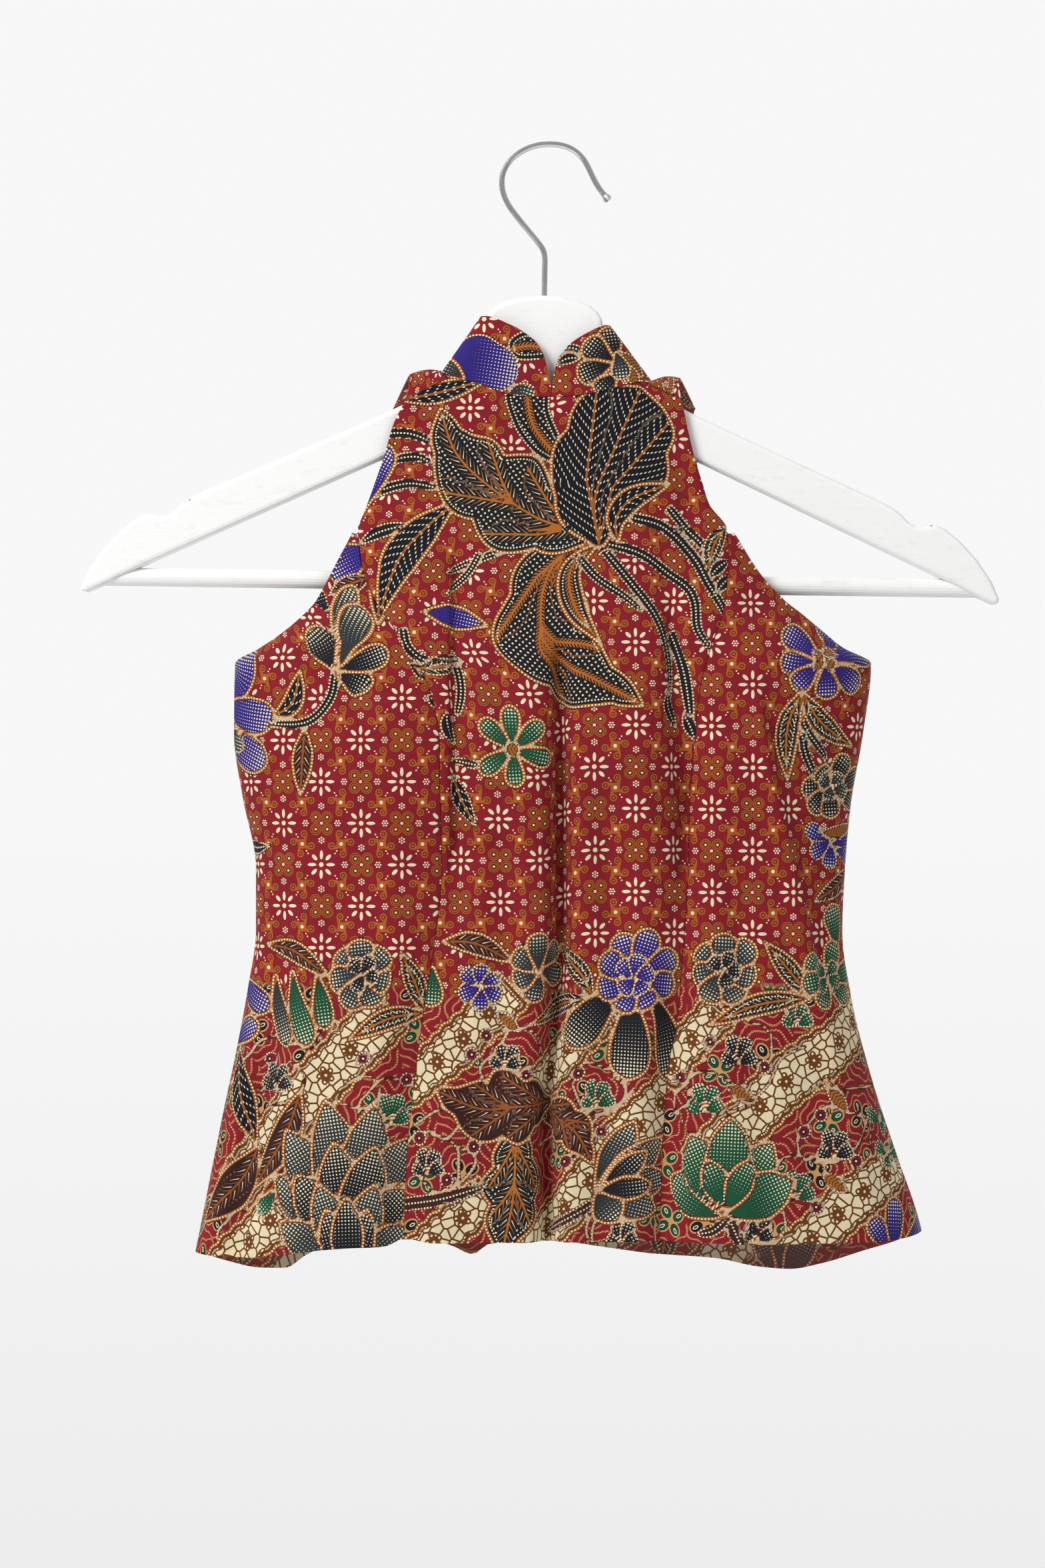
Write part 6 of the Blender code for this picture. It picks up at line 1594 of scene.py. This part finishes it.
def motif_patterns(tree, u, v, pattern, inner, outline_run, depth):
    """What is drawn inside the large motifs: where it is cream, and where it has the second colour."""
    along, across, share = add(tree, "SeparateXYZ", inner, output=None)
    aside = add(tree, "ABSOLUTE", across)
    spacing = add(tree, "CombineXYZ", centred(tree, along, DOT_PITCH), centred(tree, across, DOT_PITCH))
    lattice = add(tree, "VectorMath", spacing, operation="LENGTH", output=1)

    def is_pattern(*codes):
        offs = [add(tree, "LESS_THAN",
                    add(tree, "ABSOLUTE", add(tree, "SUBTRACT", pattern, float(code))), CODE_REACH)
                for code in codes]
        return chain(tree, "MAXIMUM", *offs)

    def slanted(lean, pitch):
        return centred(tree, add(tree, "SUBTRACT", along, add(tree, "MULTIPLY", aside, lean)), pitch)

    size = add(tree, "MapRange", share, DOTS_FROM, DOTS_FULL, 0.0, 0.56)
    dots = chain(tree, "MULTIPLY", is_pattern(DOTS), add(tree, "LESS_THAN", lattice, size))
    rows = chain(tree, "SUBTRACT", along, add(tree, "MULTIPLY", aside, 0.9),
                 add(tree, "MULTIPLY", add(tree, "MULTIPLY", aside, aside), 0.03))
    row_dots = add(tree, "CombineXYZ", add(tree, "DIVIDE", centred(tree, rows, VEIN_PITCH), ROW_SLANT),
                   add(tree, "MULTIPLY", centred(tree, aside, ROW_DOT_PITCH), ROW_SLANT))
    veined = chain(tree, "MULTIPLY", is_pattern(VEINS), add(tree, "LESS_THAN", add(
        tree, "VectorMath", row_dots, operation="LENGTH", output=1), 0.43))
    strokes = slanted(1.3, STROKE_PITCH)
    taper = add(tree, "MapRange", aside, 0.4, STROKE_REACH, 0.5, 0.05)
    stroke = chain(tree, "MULTIPLY", add(tree, "LESS_THAN", add(tree, "ABSOLUTE", strokes), taper),
                   add(tree, "LESS_THAN", aside, STROKE_REACH), is_pattern(FEATHER, BRANCH))
    number = add(tree, "FLOOR", add(tree, "DIVIDE", add(tree, "SUBTRACT", along,
                 add(tree, "MULTIPLY", aside, 1.3)), STROKE_PITCH))
    odd = add(tree, "FLOORED_MODULO", number, 2.0)
    pale_stroke = chain(tree, "MULTIPLY", stroke, add(tree, "SUBTRACT", 1.0, odd),
                        add(tree, "GREATER_THAN", aside, 1.2))
    comb = chain(tree, "MULTIPLY", is_pattern(FERN), add(tree, "LESS_THAN", aside, COMB_REACH),
                 add(tree, "LESS_THAN", add(tree, "ABSOLUTE", slanted(0.9, 1.7)), 0.44))
    beyond = chain(tree, "MAXIMUM",
                   chain(tree, "MULTIPLY", is_pattern(FERN),
                         add(tree, "GREATER_THAN", aside, COMB_REACH + COMB_MARGIN)),
                   chain(tree, "MULTIPLY", is_pattern(FEATHER, BRANCH),
                         add(tree, "GREATER_THAN", aside, STROKE_REACH + 0.3)))
    slant_u, slant_v = turned(tree, u, v, DOT_LEAN)
    field = add(tree, "CombineXYZ", centred(tree, slant_u, FIELD_PITCH), centred(tree, slant_v, FIELD_PITCH))
    field = add(tree, "VectorMath", field, operation="LENGTH", output=1)
    small = chain(tree, "MULTIPLY", beyond, add(tree, "LESS_THAN", field, FIELD_DOT),
                  add(tree, "LESS_THAN", depth, -FIELD_DEPTH))
    beads = chain(tree, "MULTIPLY", is_pattern(SPINE),
                  spot(tree, centred(tree, along, BEAD_PITCH), across, BEAD_RADIUS))
    eye = chain(tree, "MULTIPLY", is_pattern(EYE), spot(tree, along, across, EYE_RADIUS, EYE_PLACE))
    eye_dot = chain(tree, "MULTIPLY", is_pattern(EYE), spot(tree, along, across, EYE_DOT_RADIUS, EYE_PLACE))
    flower_x = centred(tree, along, LACE_FLOWER_PITCH)
    lace_flower = petal_ring(tree, flower_x, across, 5, 2.6, 2.0, 1.6)
    lace_eyes = petal_ring(tree, flower_x, across, 5, 3.2, 0.55, 0.55)
    cells = add(tree, "TexVoronoi", add(tree, "VectorMath", inner, (1.0, 1.0, 0.0), operation="MULTIPLY"),
                voronoi_dimensions="2D", feature="DISTANCE_TO_EDGE")
    cells.node.inputs["Scale"].default_value = 1 / LACE_CELL
    cells.node.inputs["Randomness"].default_value = LACE_RANDOMNESS
    hem_of_lace = add(tree, "GREATER_THAN", depth, -LACE_HEM)
    lace = chain(tree, "MULTIPLY", is_pattern(LACE), chain(
        tree, "MAXIMUM", add(tree, "LESS_THAN", cells, LACE_THREAD), lace_flower, hem_of_lace))
    lace_cream = chain(tree, "MULTIPLY", is_pattern(LACE), chain(
        tree, "MAXIMUM", lace_eyes, spot(tree, flower_x, across, 0.6)),
        add(tree, "SUBTRACT", 1.0, hem_of_lace))
    hatch = chain(tree, "MULTIPLY", is_pattern(CELLS),
                  add(tree, "LESS_THAN", add(tree, "ABSOLUTE", slanted(0.6, 1.7)), 0.24))
    rib = chain(tree, "MULTIPLY", is_pattern(VEINS, FEATHER, FERN, BRANCH),
                add(tree, "LESS_THAN", aside, RIB_LINE))
    run = centred(tree, add(tree, "MULTIPLY", outline_run, BEAD_PITCH), BEAD_PITCH)
    margin = chain(tree, "MULTIPLY", is_pattern(FEATHER, FERN, LACE),
                   spot(tree, add(tree, "ADD", depth, 2.3), run, 0.42))
    cream = chain(tree, "MAXIMUM", dots, veined, pale_stroke, beads, margin, eye_dot,
                  chain(tree, "MULTIPLY", small, is_pattern(FEATHER, FERN)), lace_cream)
    second = chain(tree, "MAXIMUM", chain(tree, "MULTIPLY", stroke, odd), comb, lace, hatch, rib, eye,
                   chain(tree, "MULTIPLY", small, is_pattern(BRANCH)))
    return cream, second


def cotton_material(settings):
    """Printed cotton: wax-resist batik dyed on plain weave, so it is matt with a faint bloom, its
    colours pool a little, and its reverse shows the same print paler."""
    made, tree, shader = new_material("batik_printed_cotton")
    u, v, border = add(tree, "SeparateXYZ",
                       add(tree, "Attribute", attribute_name="cloth_place", output=1), output=None)
    line, gap, run = add(tree, "SeparateXYZ",
                         add(tree, "Attribute", attribute_name="outline", output=1), output=None)
    depth, reverse, _ = add(tree, "SeparateXYZ",
                            add(tree, "Attribute", attribute_name="depth_side", output=1), output=None)
    inner = add(tree, "Attribute", attribute_name="inner_place", output=1)
    dyed = add(tree, "Attribute", attribute_name="dye", output=None)
    pattern = add(tree, "MULTIPLY", dyed["Alpha"], float(PATTERN_CODES))
    second_dye = add(tree, "Attribute", attribute_name="second_dye")
    crimson, ochre, cream_dye, brown, black, green, tan = (tuple(colour) + (1.0,) for colour in (
        settings.crimson, settings.ochre, settings.cream, settings.brown, settings.black,
        settings.green, settings.tan))
    cream, figures, edges = small_repeat(tree, u, v)
    open_ground = add(tree, "SUBTRACT", 1.0, border)
    colour = add(tree, "MixRGB", chain(tree, "MULTIPLY", figures, open_ground), crimson, ochre)
    colour = add(tree, "MixRGB", chain(tree, "MULTIPLY", edges, open_ground), colour, brown)
    colour = add(tree, "MixRGB", chain(tree, "MULTIPLY", cream, open_ground), colour, cream_dye)
    petals, lines, eyes, is_green = border_repeat(tree, u, v)
    petal_dye = add(tree, "MixRGB", is_green, black, green)
    colour = add(tree, "MixRGB", chain(tree, "MULTIPLY", lines, border), colour, tan)
    colour = add(tree, "MixRGB", chain(tree, "MULTIPLY", petals, border), colour, petal_dye)
    colour = add(tree, "MixRGB", chain(tree, "MULTIPLY", eyes, border), colour, cream_dye)
    cream, second = motif_patterns(tree, u, v, pattern, inner, run, depth)
    drawn = add(tree, "MixRGB", second, dyed["Color"], second_dye)
    drawn = add(tree, "MixRGB", cream, drawn, cream_dye)
    colour = add(tree, "MixRGB", add(tree, "LESS_THAN", depth, 0.0), colour, drawn)
    band = add(tree, "LESS_THAN", gap, BAND_HALF_WIDTH)
    rim = chain(tree, "MULTIPLY", band, add(tree, "GREATER_THAN", gap, BAND_HALF_WIDTH - BAND_EDGE))
    colour = add(tree, "MixRGB", band, colour, tuple(settings.outline) + (1.0,))
    colour = add(tree, "MixRGB", rim, colour, brown)
    beads = chain(tree, "MULTIPLY", band,
                  spot(tree, line, centred(tree, add(tree, "MULTIPLY", run, BEAD_PITCH), BEAD_PITCH),
                       BEAD_RADIUS))
    colour = add(tree, "MixRGB", beads, colour, cream_dye)
    place = add(tree, "CombineXYZ", u, v)
    pooled = add(tree, "TexNoise", place, None, 1 / DYE_POOL, 3.0, 0.6)
    pooling = add(tree, "MapRange", pooled, 0.3, 0.7, *POOLING)
    colour = add(tree, "VectorMath", colour, pooling, operation="MULTIPLY")
    colour = add(tree, "MixRGB", chain(tree, "MULTIPLY", reverse, REVERSE_SHARE), colour,
                 tuple(settings.reverse) + (1.0,))
    tree.links.new(colour, shader.inputs["Base Color"])
    threads = 2 * math.pi / settings.thread_pitch
    weave = chain(tree, "MULTIPLY", add(tree, "SINE", add(tree, "MULTIPLY", u, threads)),
                 add(tree, "SINE", add(tree, "MULTIPLY", v, threads)))
    slubs = add(tree, "TexNoise", add(tree, "VectorMath", place, (0.2, 2.2, 1.0),
                                          operation="MULTIPLY"), None, 1.0, 2.0, 0.5)
    height = add(tree, "ADD", weave, add(tree, "MULTIPLY", slubs, 2.0))
    bump = add(tree, "Bump", 0.22, 0.00012)
    tree.links.new(height, bump.node.inputs["Height"])
    tree.links.new(bump, shader.inputs["Normal"])
    rough = add(tree, "MapRange", pooled, 0.2, 0.8, 0.78, 0.92)
    tree.links.new(rough, shader.inputs["Roughness"])
    shader.inputs["IOR"].default_value = 1.47
    shader.inputs["Specular IOR Level"].default_value = 0.15
    shader.inputs["Sheen Weight"].default_value = 0.03
    shader.inputs["Sheen Roughness"].default_value = 0.5
    return made


def lacquer_material(settings):
    """Satin lacquer sprayed on a sawn wooden hanger: white, with the grain faint beneath it, rubbed
    grey where cloth slides over it, and chipped at the left notch."""
    made, tree, shader = new_material("white_satin_lacquer")
    place = add(tree, "TexCoord", output=3)
    grain_place = add(tree, "VectorMath", place, (9.0, 160.0, 260.0), operation="MULTIPLY")
    grain = add(tree, "TexNoise", grain_place, None, 4.0, 4.0, 0.55)
    wear_place = add(tree, "VectorMath", place, (30.0, 60.0, 60.0), operation="MULTIPLY")
    wear = add(tree, "TexNoise", wear_place, None, 3.0, 5.0, 0.65)
    white = tuple(settings.lacquer) + (1.0,)
    shade = add(tree, "MapRange", wear, 0.56, 0.74, 0.0, 0.22)
    colour = add(tree, "MixRGB", shade, white, tuple(settings.scuff) + (1.0,))
    streak = add(tree, "MapRange", grain, 0.6, 0.8, 0.0, 0.16)
    colour = add(tree, "MixRGB", streak, colour, tuple(settings.scuff) + (1.0,))
    for x, y, z, radius in HANGER_CHIPS:
        gap = add(tree, "VectorMath", place, (x * MM, y * MM, z * MM), operation="DISTANCE", output=1)
        ragged = add(tree, "MULTIPLY_ADD", wear, 6 * MM, gap)
        chip = add(tree, "LESS_THAN", ragged, (radius + 3) * MM)
        colour = add(tree, "MixRGB", chip, colour, tuple(settings.bare_wood) + (1.0,))
    tree.links.new(colour, shader.inputs["Base Color"])
    rough = add(tree, "MapRange", wear, 0.3, 0.75, 0.3, 0.5)
    tree.links.new(rough, shader.inputs["Roughness"])
    bump = add(tree, "Bump", 0.35, 0.00025)
    tree.links.new(grain, bump.node.inputs["Height"])
    tree.links.new(bump, shader.inputs["Normal"])
    shader.inputs["IOR"].default_value = 1.5
    shader.inputs["Coat Weight"].default_value = 0.15
    shader.inputs["Coat Roughness"].default_value = 0.25
    return made


def steel_material(settings):
    """Drawn steel wire, zinc plated: a grey metal with fine rubbed scratches along the wire."""
    made, tree, shader = new_material("zinc_plated_steel")
    place = add(tree, "TexCoord", output=3)
    fine = add(tree, "TexNoise", place, None, 900.0, 4.0, 0.6)
    cloudy = add(tree, "TexNoise", place, None, 90.0, 3.0, 0.5)
    dulled = add(tree, "MapRange", cloudy, 0.35, 0.75, 0.0, 0.35)
    colour = add(tree, "MixRGB", dulled, tuple(settings.steel) + (1.0,), (0.35, 0.35, 0.34, 1.0))
    tree.links.new(colour, shader.inputs["Base Color"])
    rough = add(tree, "MapRange", fine, 0.3, 0.7, 0.2, 0.3)
    tree.links.new(rough, shader.inputs["Roughness"])
    bump = add(tree, "Bump", 0.03, 0.00002)
    tree.links.new(fine, bump.node.inputs["Height"])
    tree.links.new(bump, shader.inputs["Normal"])
    shader.inputs["Metallic"].default_value = 1.0
    return made


def wall_material(name, colour):
    """Matt paint on the studio floor."""
    made, tree, shader = new_material(name)
    speck = add(tree, "TexNoise", add(tree, "TexCoord", output=3), None, 6.0, 3.0, 0.5)
    shade = add(tree, "MapRange", speck, 0.3, 0.7, 0.985, 1.0)
    painted = add(tree, "VectorMath", tuple(colour), shade, operation="MULTIPLY")
    tree.links.new(painted, shader.inputs["Base Color"])
    shader.inputs["Roughness"].default_value = 0.9
    return made


def colour_prop(name, description, code):
    return FloatVectorProperty(name=name, description=description, subtype="COLOR", size=3,
                               default=linear(code), min=0.0, max=1.0)


class ClothSettings(bpy.types.PropertyGroup):
    crimson: colour_prop("Crimson", "Dye of the ground", "#8b1e29")
    ochre: colour_prop("Ochre", "Dye of the small flowers and curls", "#ae5c24")
    outline: colour_prop("Outline", "Dye of the beaded outlines", "#a15c20")
    cream: colour_prop("Cream", "Cloth that the wax kept free of dye", "#efe2bf")
    brown: colour_prop("Brown", "Fine lines round the ochre", "#4a201b")
    black: colour_prop("Black", "Dye of the border's small flowers", "#1b1a1f")
    green: colour_prop("Green", "Second dye of the border's small flowers", "#1c4a34")
    tan: colour_prop("Tan", "Dotted lines of the border", "#d09a62")
    reverse: colour_prop("Reverse", "What the back of the cloth is paled with", "#a8746a")
    thread_pitch: FloatProperty(
        name="Thread pitch", default=0.9, min=0.2, max=3.0,
        description="Millimetres between threads. Real ones are 0.3 apart, too fine to show")


class HangerSettings(bpy.types.PropertyGroup):
    lacquer: colour_prop("Lacquer", "White of the wooden hanger", "#f8f8f6")
    scuff: colour_prop("Scuff", "Grey of rubbed lacquer", "#bdbab5")
    bare_wood: colour_prop("Bare wood", "Wood that shows at a chip", "#7d6f64")
    steel: colour_prop("Steel", "Plating of the hook", "#e2e2df")


class StageSettings(bpy.types.PropertyGroup):
    floor: colour_prop("Floor", "Paint of the studio floor", "#f0f0f1")
    sky: colour_prop("Surround", "Pale surround of the studio", "#fbfbfc")
    floor_level: FloatProperty(name="Floor level", default=-1.05, unit="LENGTH",
                               description="Height of the floor below the hook")
    key_power: FloatProperty(name="Key light", default=46.0, min=0.0,
                             description="Power of the soft light above the left, in watts")
    fill_power: FloatProperty(name="Fill light", default=9.0, min=0.0,
                              description="Power of the soft light above the right, in watts")
    surround_strength: FloatProperty(name="Surround strength", default=0.97, min=0.0,
                                     description="How brightly the pale surround shines behind the top")
    room_strength: FloatProperty(name="Room strength", default=0.34, min=0.0,
                                 description="How brightly the room shines in front of the top")


def finish_cloth(name, sheet, painter, star, border, node):
    """Makes one panel, gives it the printed cotton, hides its CAD node and hangs it from the root body."""
    made = cloth_object(name, sheet, painter, star, border)
    made.data.materials.append(bpy.data.materials["batik_printed_cotton"])
    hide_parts(node)
    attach(made, "root")


class MakeCotton(bpy.types.Operator):
    """Mixes the printed cotton that every panel is cut from"""

    bl_idname = "halter.cotton"
    bl_label = "Printed cotton"

    def execute(self, context):
        cotton_material(context.scene.halter_cloth)
        return {"FINISHED"}


class MakeFront(bpy.types.Operator):
    """Builds the middle front and the two side fronts"""

    bl_idname = "halter.front"
    bl_label = "Front panels"

    def execute(self, context):
        sheet = middle_front_sheet()
        finish_cloth("middle_front_cloth", sheet, paint(sheet, MIDDLE_MOTIFS), MIDDLE_STAR, BORDER_LEVEL,
                     "front_middle")
        sheet = side_front_sheet(-1, LEFT_EDGE, LEFT_SEAM, LEFT_STAR[0])
        finish_cloth("left_side_front_cloth", sheet, paint(sheet, LEFT_MOTIFS), LEFT_STAR, BORDER_LEVEL,
                     "front_side_left")
        sheet = side_front_sheet(1, RIGHT_EDGE, RIGHT_SEAM, RIGHT_STAR[0])
        finish_cloth("right_side_front_cloth", sheet, paint(sheet, RIGHT_MOTIFS), RIGHT_STAR, BORDER_LEVEL,
                     "front_side_right")
        return {"FINISHED"}


class MakeBack(bpy.types.Operator):
    """Builds the two backs with the straps that fold over the hanger"""

    bl_idname = "halter.back"
    bl_label = "Back panels"

    def execute(self, context):
        for name, side, edge, strap, leaf, motifs in (
            ("left", -1, LEFT_EDGE, LEFT_STRAP, LEFT_COLLAR, STRAP_LEFT_MOTIFS),
            ("right", 1, RIGHT_EDGE, RIGHT_STRAP, RIGHT_COLLAR, STRAP_RIGHT_MOTIFS),
        ):
            sheet = back_sheet(side, edge, strap, leaf)
            shift = 0.0 if side > 0 else -BACK_REPEAT
            panel = [shifted(motif, shift) for motif in BACK_MOTIFS]
            painter = paint(sheet, panel)
            painter.among = np.flatnonzero(sheet.straps.ravel())
            for motif in motifs:
                painter.lay(motif)
            finish_cloth(name + "_back_cloth", sheet, painter, BACK_STAR,
                         BORDER_LEVEL, "back_" + name)
        return {"FINISHED"}


class MakeCollar(bpy.types.Operator):
    """Builds the two halves of the stand collar"""

    bl_idname = "halter.collar"
    bl_label = "Collar"

    def execute(self, context):
        for name, side, leaf, motifs, star in (
            ("left", -1, LEFT_COLLAR, COLLAR_LEFT_MOTIFS, COLLAR_LEFT_STAR),
            ("right", 1, RIGHT_COLLAR, COLLAR_RIGHT_MOTIFS, COLLAR_RIGHT_STAR),
        ):
            sheet = collar_sheet(side, leaf)
            front = sheet.outer[:, :, 1] < 0
            finish_cloth(name + "_collar_cloth", sheet, paint(sheet, motifs, front), star,
                         COLLAR_BORDER_LEVEL, "collar_" + name)
        return {"FINISHED"}


class FinishHanger(bpy.types.Operator):
    """Gives the wooden hanger its lacquer and the hook its plating"""

    bl_idname = "halter.hanger"
    bl_label = "Hanger"

    def execute(self, context):
        settings = context.scene.halter_hanger
        lacquer, steel = lacquer_material(settings), steel_material(settings)
        for node, finish in (("hanger_wood", lacquer), ("hanger_bar", lacquer), ("hanger_hook", steel)):
            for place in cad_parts[node].material_slots:
                place.material = finish
        return {"FINISHED"}


class MakeStage(bpy.types.Operator):
    """Sets the pale floor, the soft lights, the surround and the camera"""

    bl_idname = "halter.stage"
    bl_label = "Stage"

    def execute(self, context):
        settings = context.scene.halter_stage
        bpy.ops.object.select_all(action="DESELECT")
        bpy.ops.mesh.primitive_plane_add(size=3.0, location=(0, 0, settings.floor_level))
        floor = context.active_object
        floor.name = "studio_floor"
        floor.data.materials.append(wall_material("floor_paint", settings.floor))
        for name, place, aim, size, power in (
            ("key_light", (-1.5, -1.5, 1.0), (0, 0, -0.3), 1.0, settings.key_power),
            ("fill_light", (1.4, -1.6, 0.9), (0, 0, -0.3), 1.0, settings.fill_power),
        ):
            bpy.ops.object.light_add(type="AREA", location=place)
            light = context.active_object
            light.name = name
            light.data.size = size
            light.data.energy = power
            light.rotation_euler = (Vector(aim) - Vector(place)).to_track_quat("-Z", "Y").to_euler()
        world = bpy.data.worlds.new("pale_surround")
        world.use_nodes = True
        tree = world.node_tree
        facing = add(tree, "SeparateXYZ", add(tree, "TexCoord", output=0), output=1)
        bright = add(tree, "MapRange", facing, -0.3, 0.75, settings.room_strength, settings.surround_strength)
        height = add(tree, "SeparateXYZ", add(tree, "TexCoord", output=0), output=2)
        bright = add(tree, "MULTIPLY", bright, add(tree, "MapRange", height, -0.19, 0.0, 0.9, 1.0))
        surround = tree.nodes["Background"]
        surround.inputs["Color"].default_value = tuple(settings.sky) + (1.0,)
        tree.links.new(bright, surround.inputs["Strength"])
        context.scene.world = world
        place = (VIEW_CENTRE[0] * MM, -VIEW_DISTANCE * MM, VIEW_CENTRE[1] * MM)
        bpy.ops.object.camera_add(location=place, rotation=(math.pi / 2, 0, 0))
        camera = context.active_object
        camera.name = "photo_view"
        camera.data.sensor_fit = "VERTICAL"
        camera.data.lens = camera.data.sensor_height * VIEW_DISTANCE / VIEW_HEIGHT
        context.scene.camera = camera
        context.scene.view_settings.view_transform = "Standard"
        return {"FINISHED"}


class HalterPanel(bpy.types.Panel):
    """Lists the pieces of the halter top and their sizes and colours"""

    bl_label = "Halter top"
    bl_idname = "VIEW3D_PT_halter_top"
    bl_space_type = "VIEW_3D"
    bl_region_type = "UI"
    bl_category = "Halter Top"

    def draw(self, context):
        for group in (context.scene.halter_cloth, context.scene.halter_hanger, context.scene.halter_stage):
            box = self.layout.box()
            for name in group.__annotations__:
                box.prop(group, name)
        for operator in OPERATORS:
            self.layout.operator(operator.bl_idname)


OPERATORS = (MakeCotton, MakeFront, MakeBack, MakeCollar, FinishHanger, MakeStage)
GROUPS = {"halter_cloth": ClothSettings, "halter_hanger": HangerSettings, "halter_stage": StageSettings}


def register():
    for kind in (*GROUPS.values(), *OPERATORS, HalterPanel):
        bpy.utils.register_class(kind)
    for name, group in GROUPS.items():
        setattr(bpy.types.Scene, name, PointerProperty(type=group))


def unregister():
    for name in GROUPS:
        delattr(bpy.types.Scene, name)
    for kind in reversed((*GROUPS.values(), *OPERATORS, HalterPanel)):
        bpy.utils.unregister_class(kind)


def main():
    register()
    bpy.ops.halter.cotton()
    bpy.ops.halter.front()
    bpy.ops.halter.back()
    bpy.ops.halter.collar()
    bpy.ops.halter.hanger()
    bpy.ops.halter.stage()


if __name__ == "__main__":
    main()
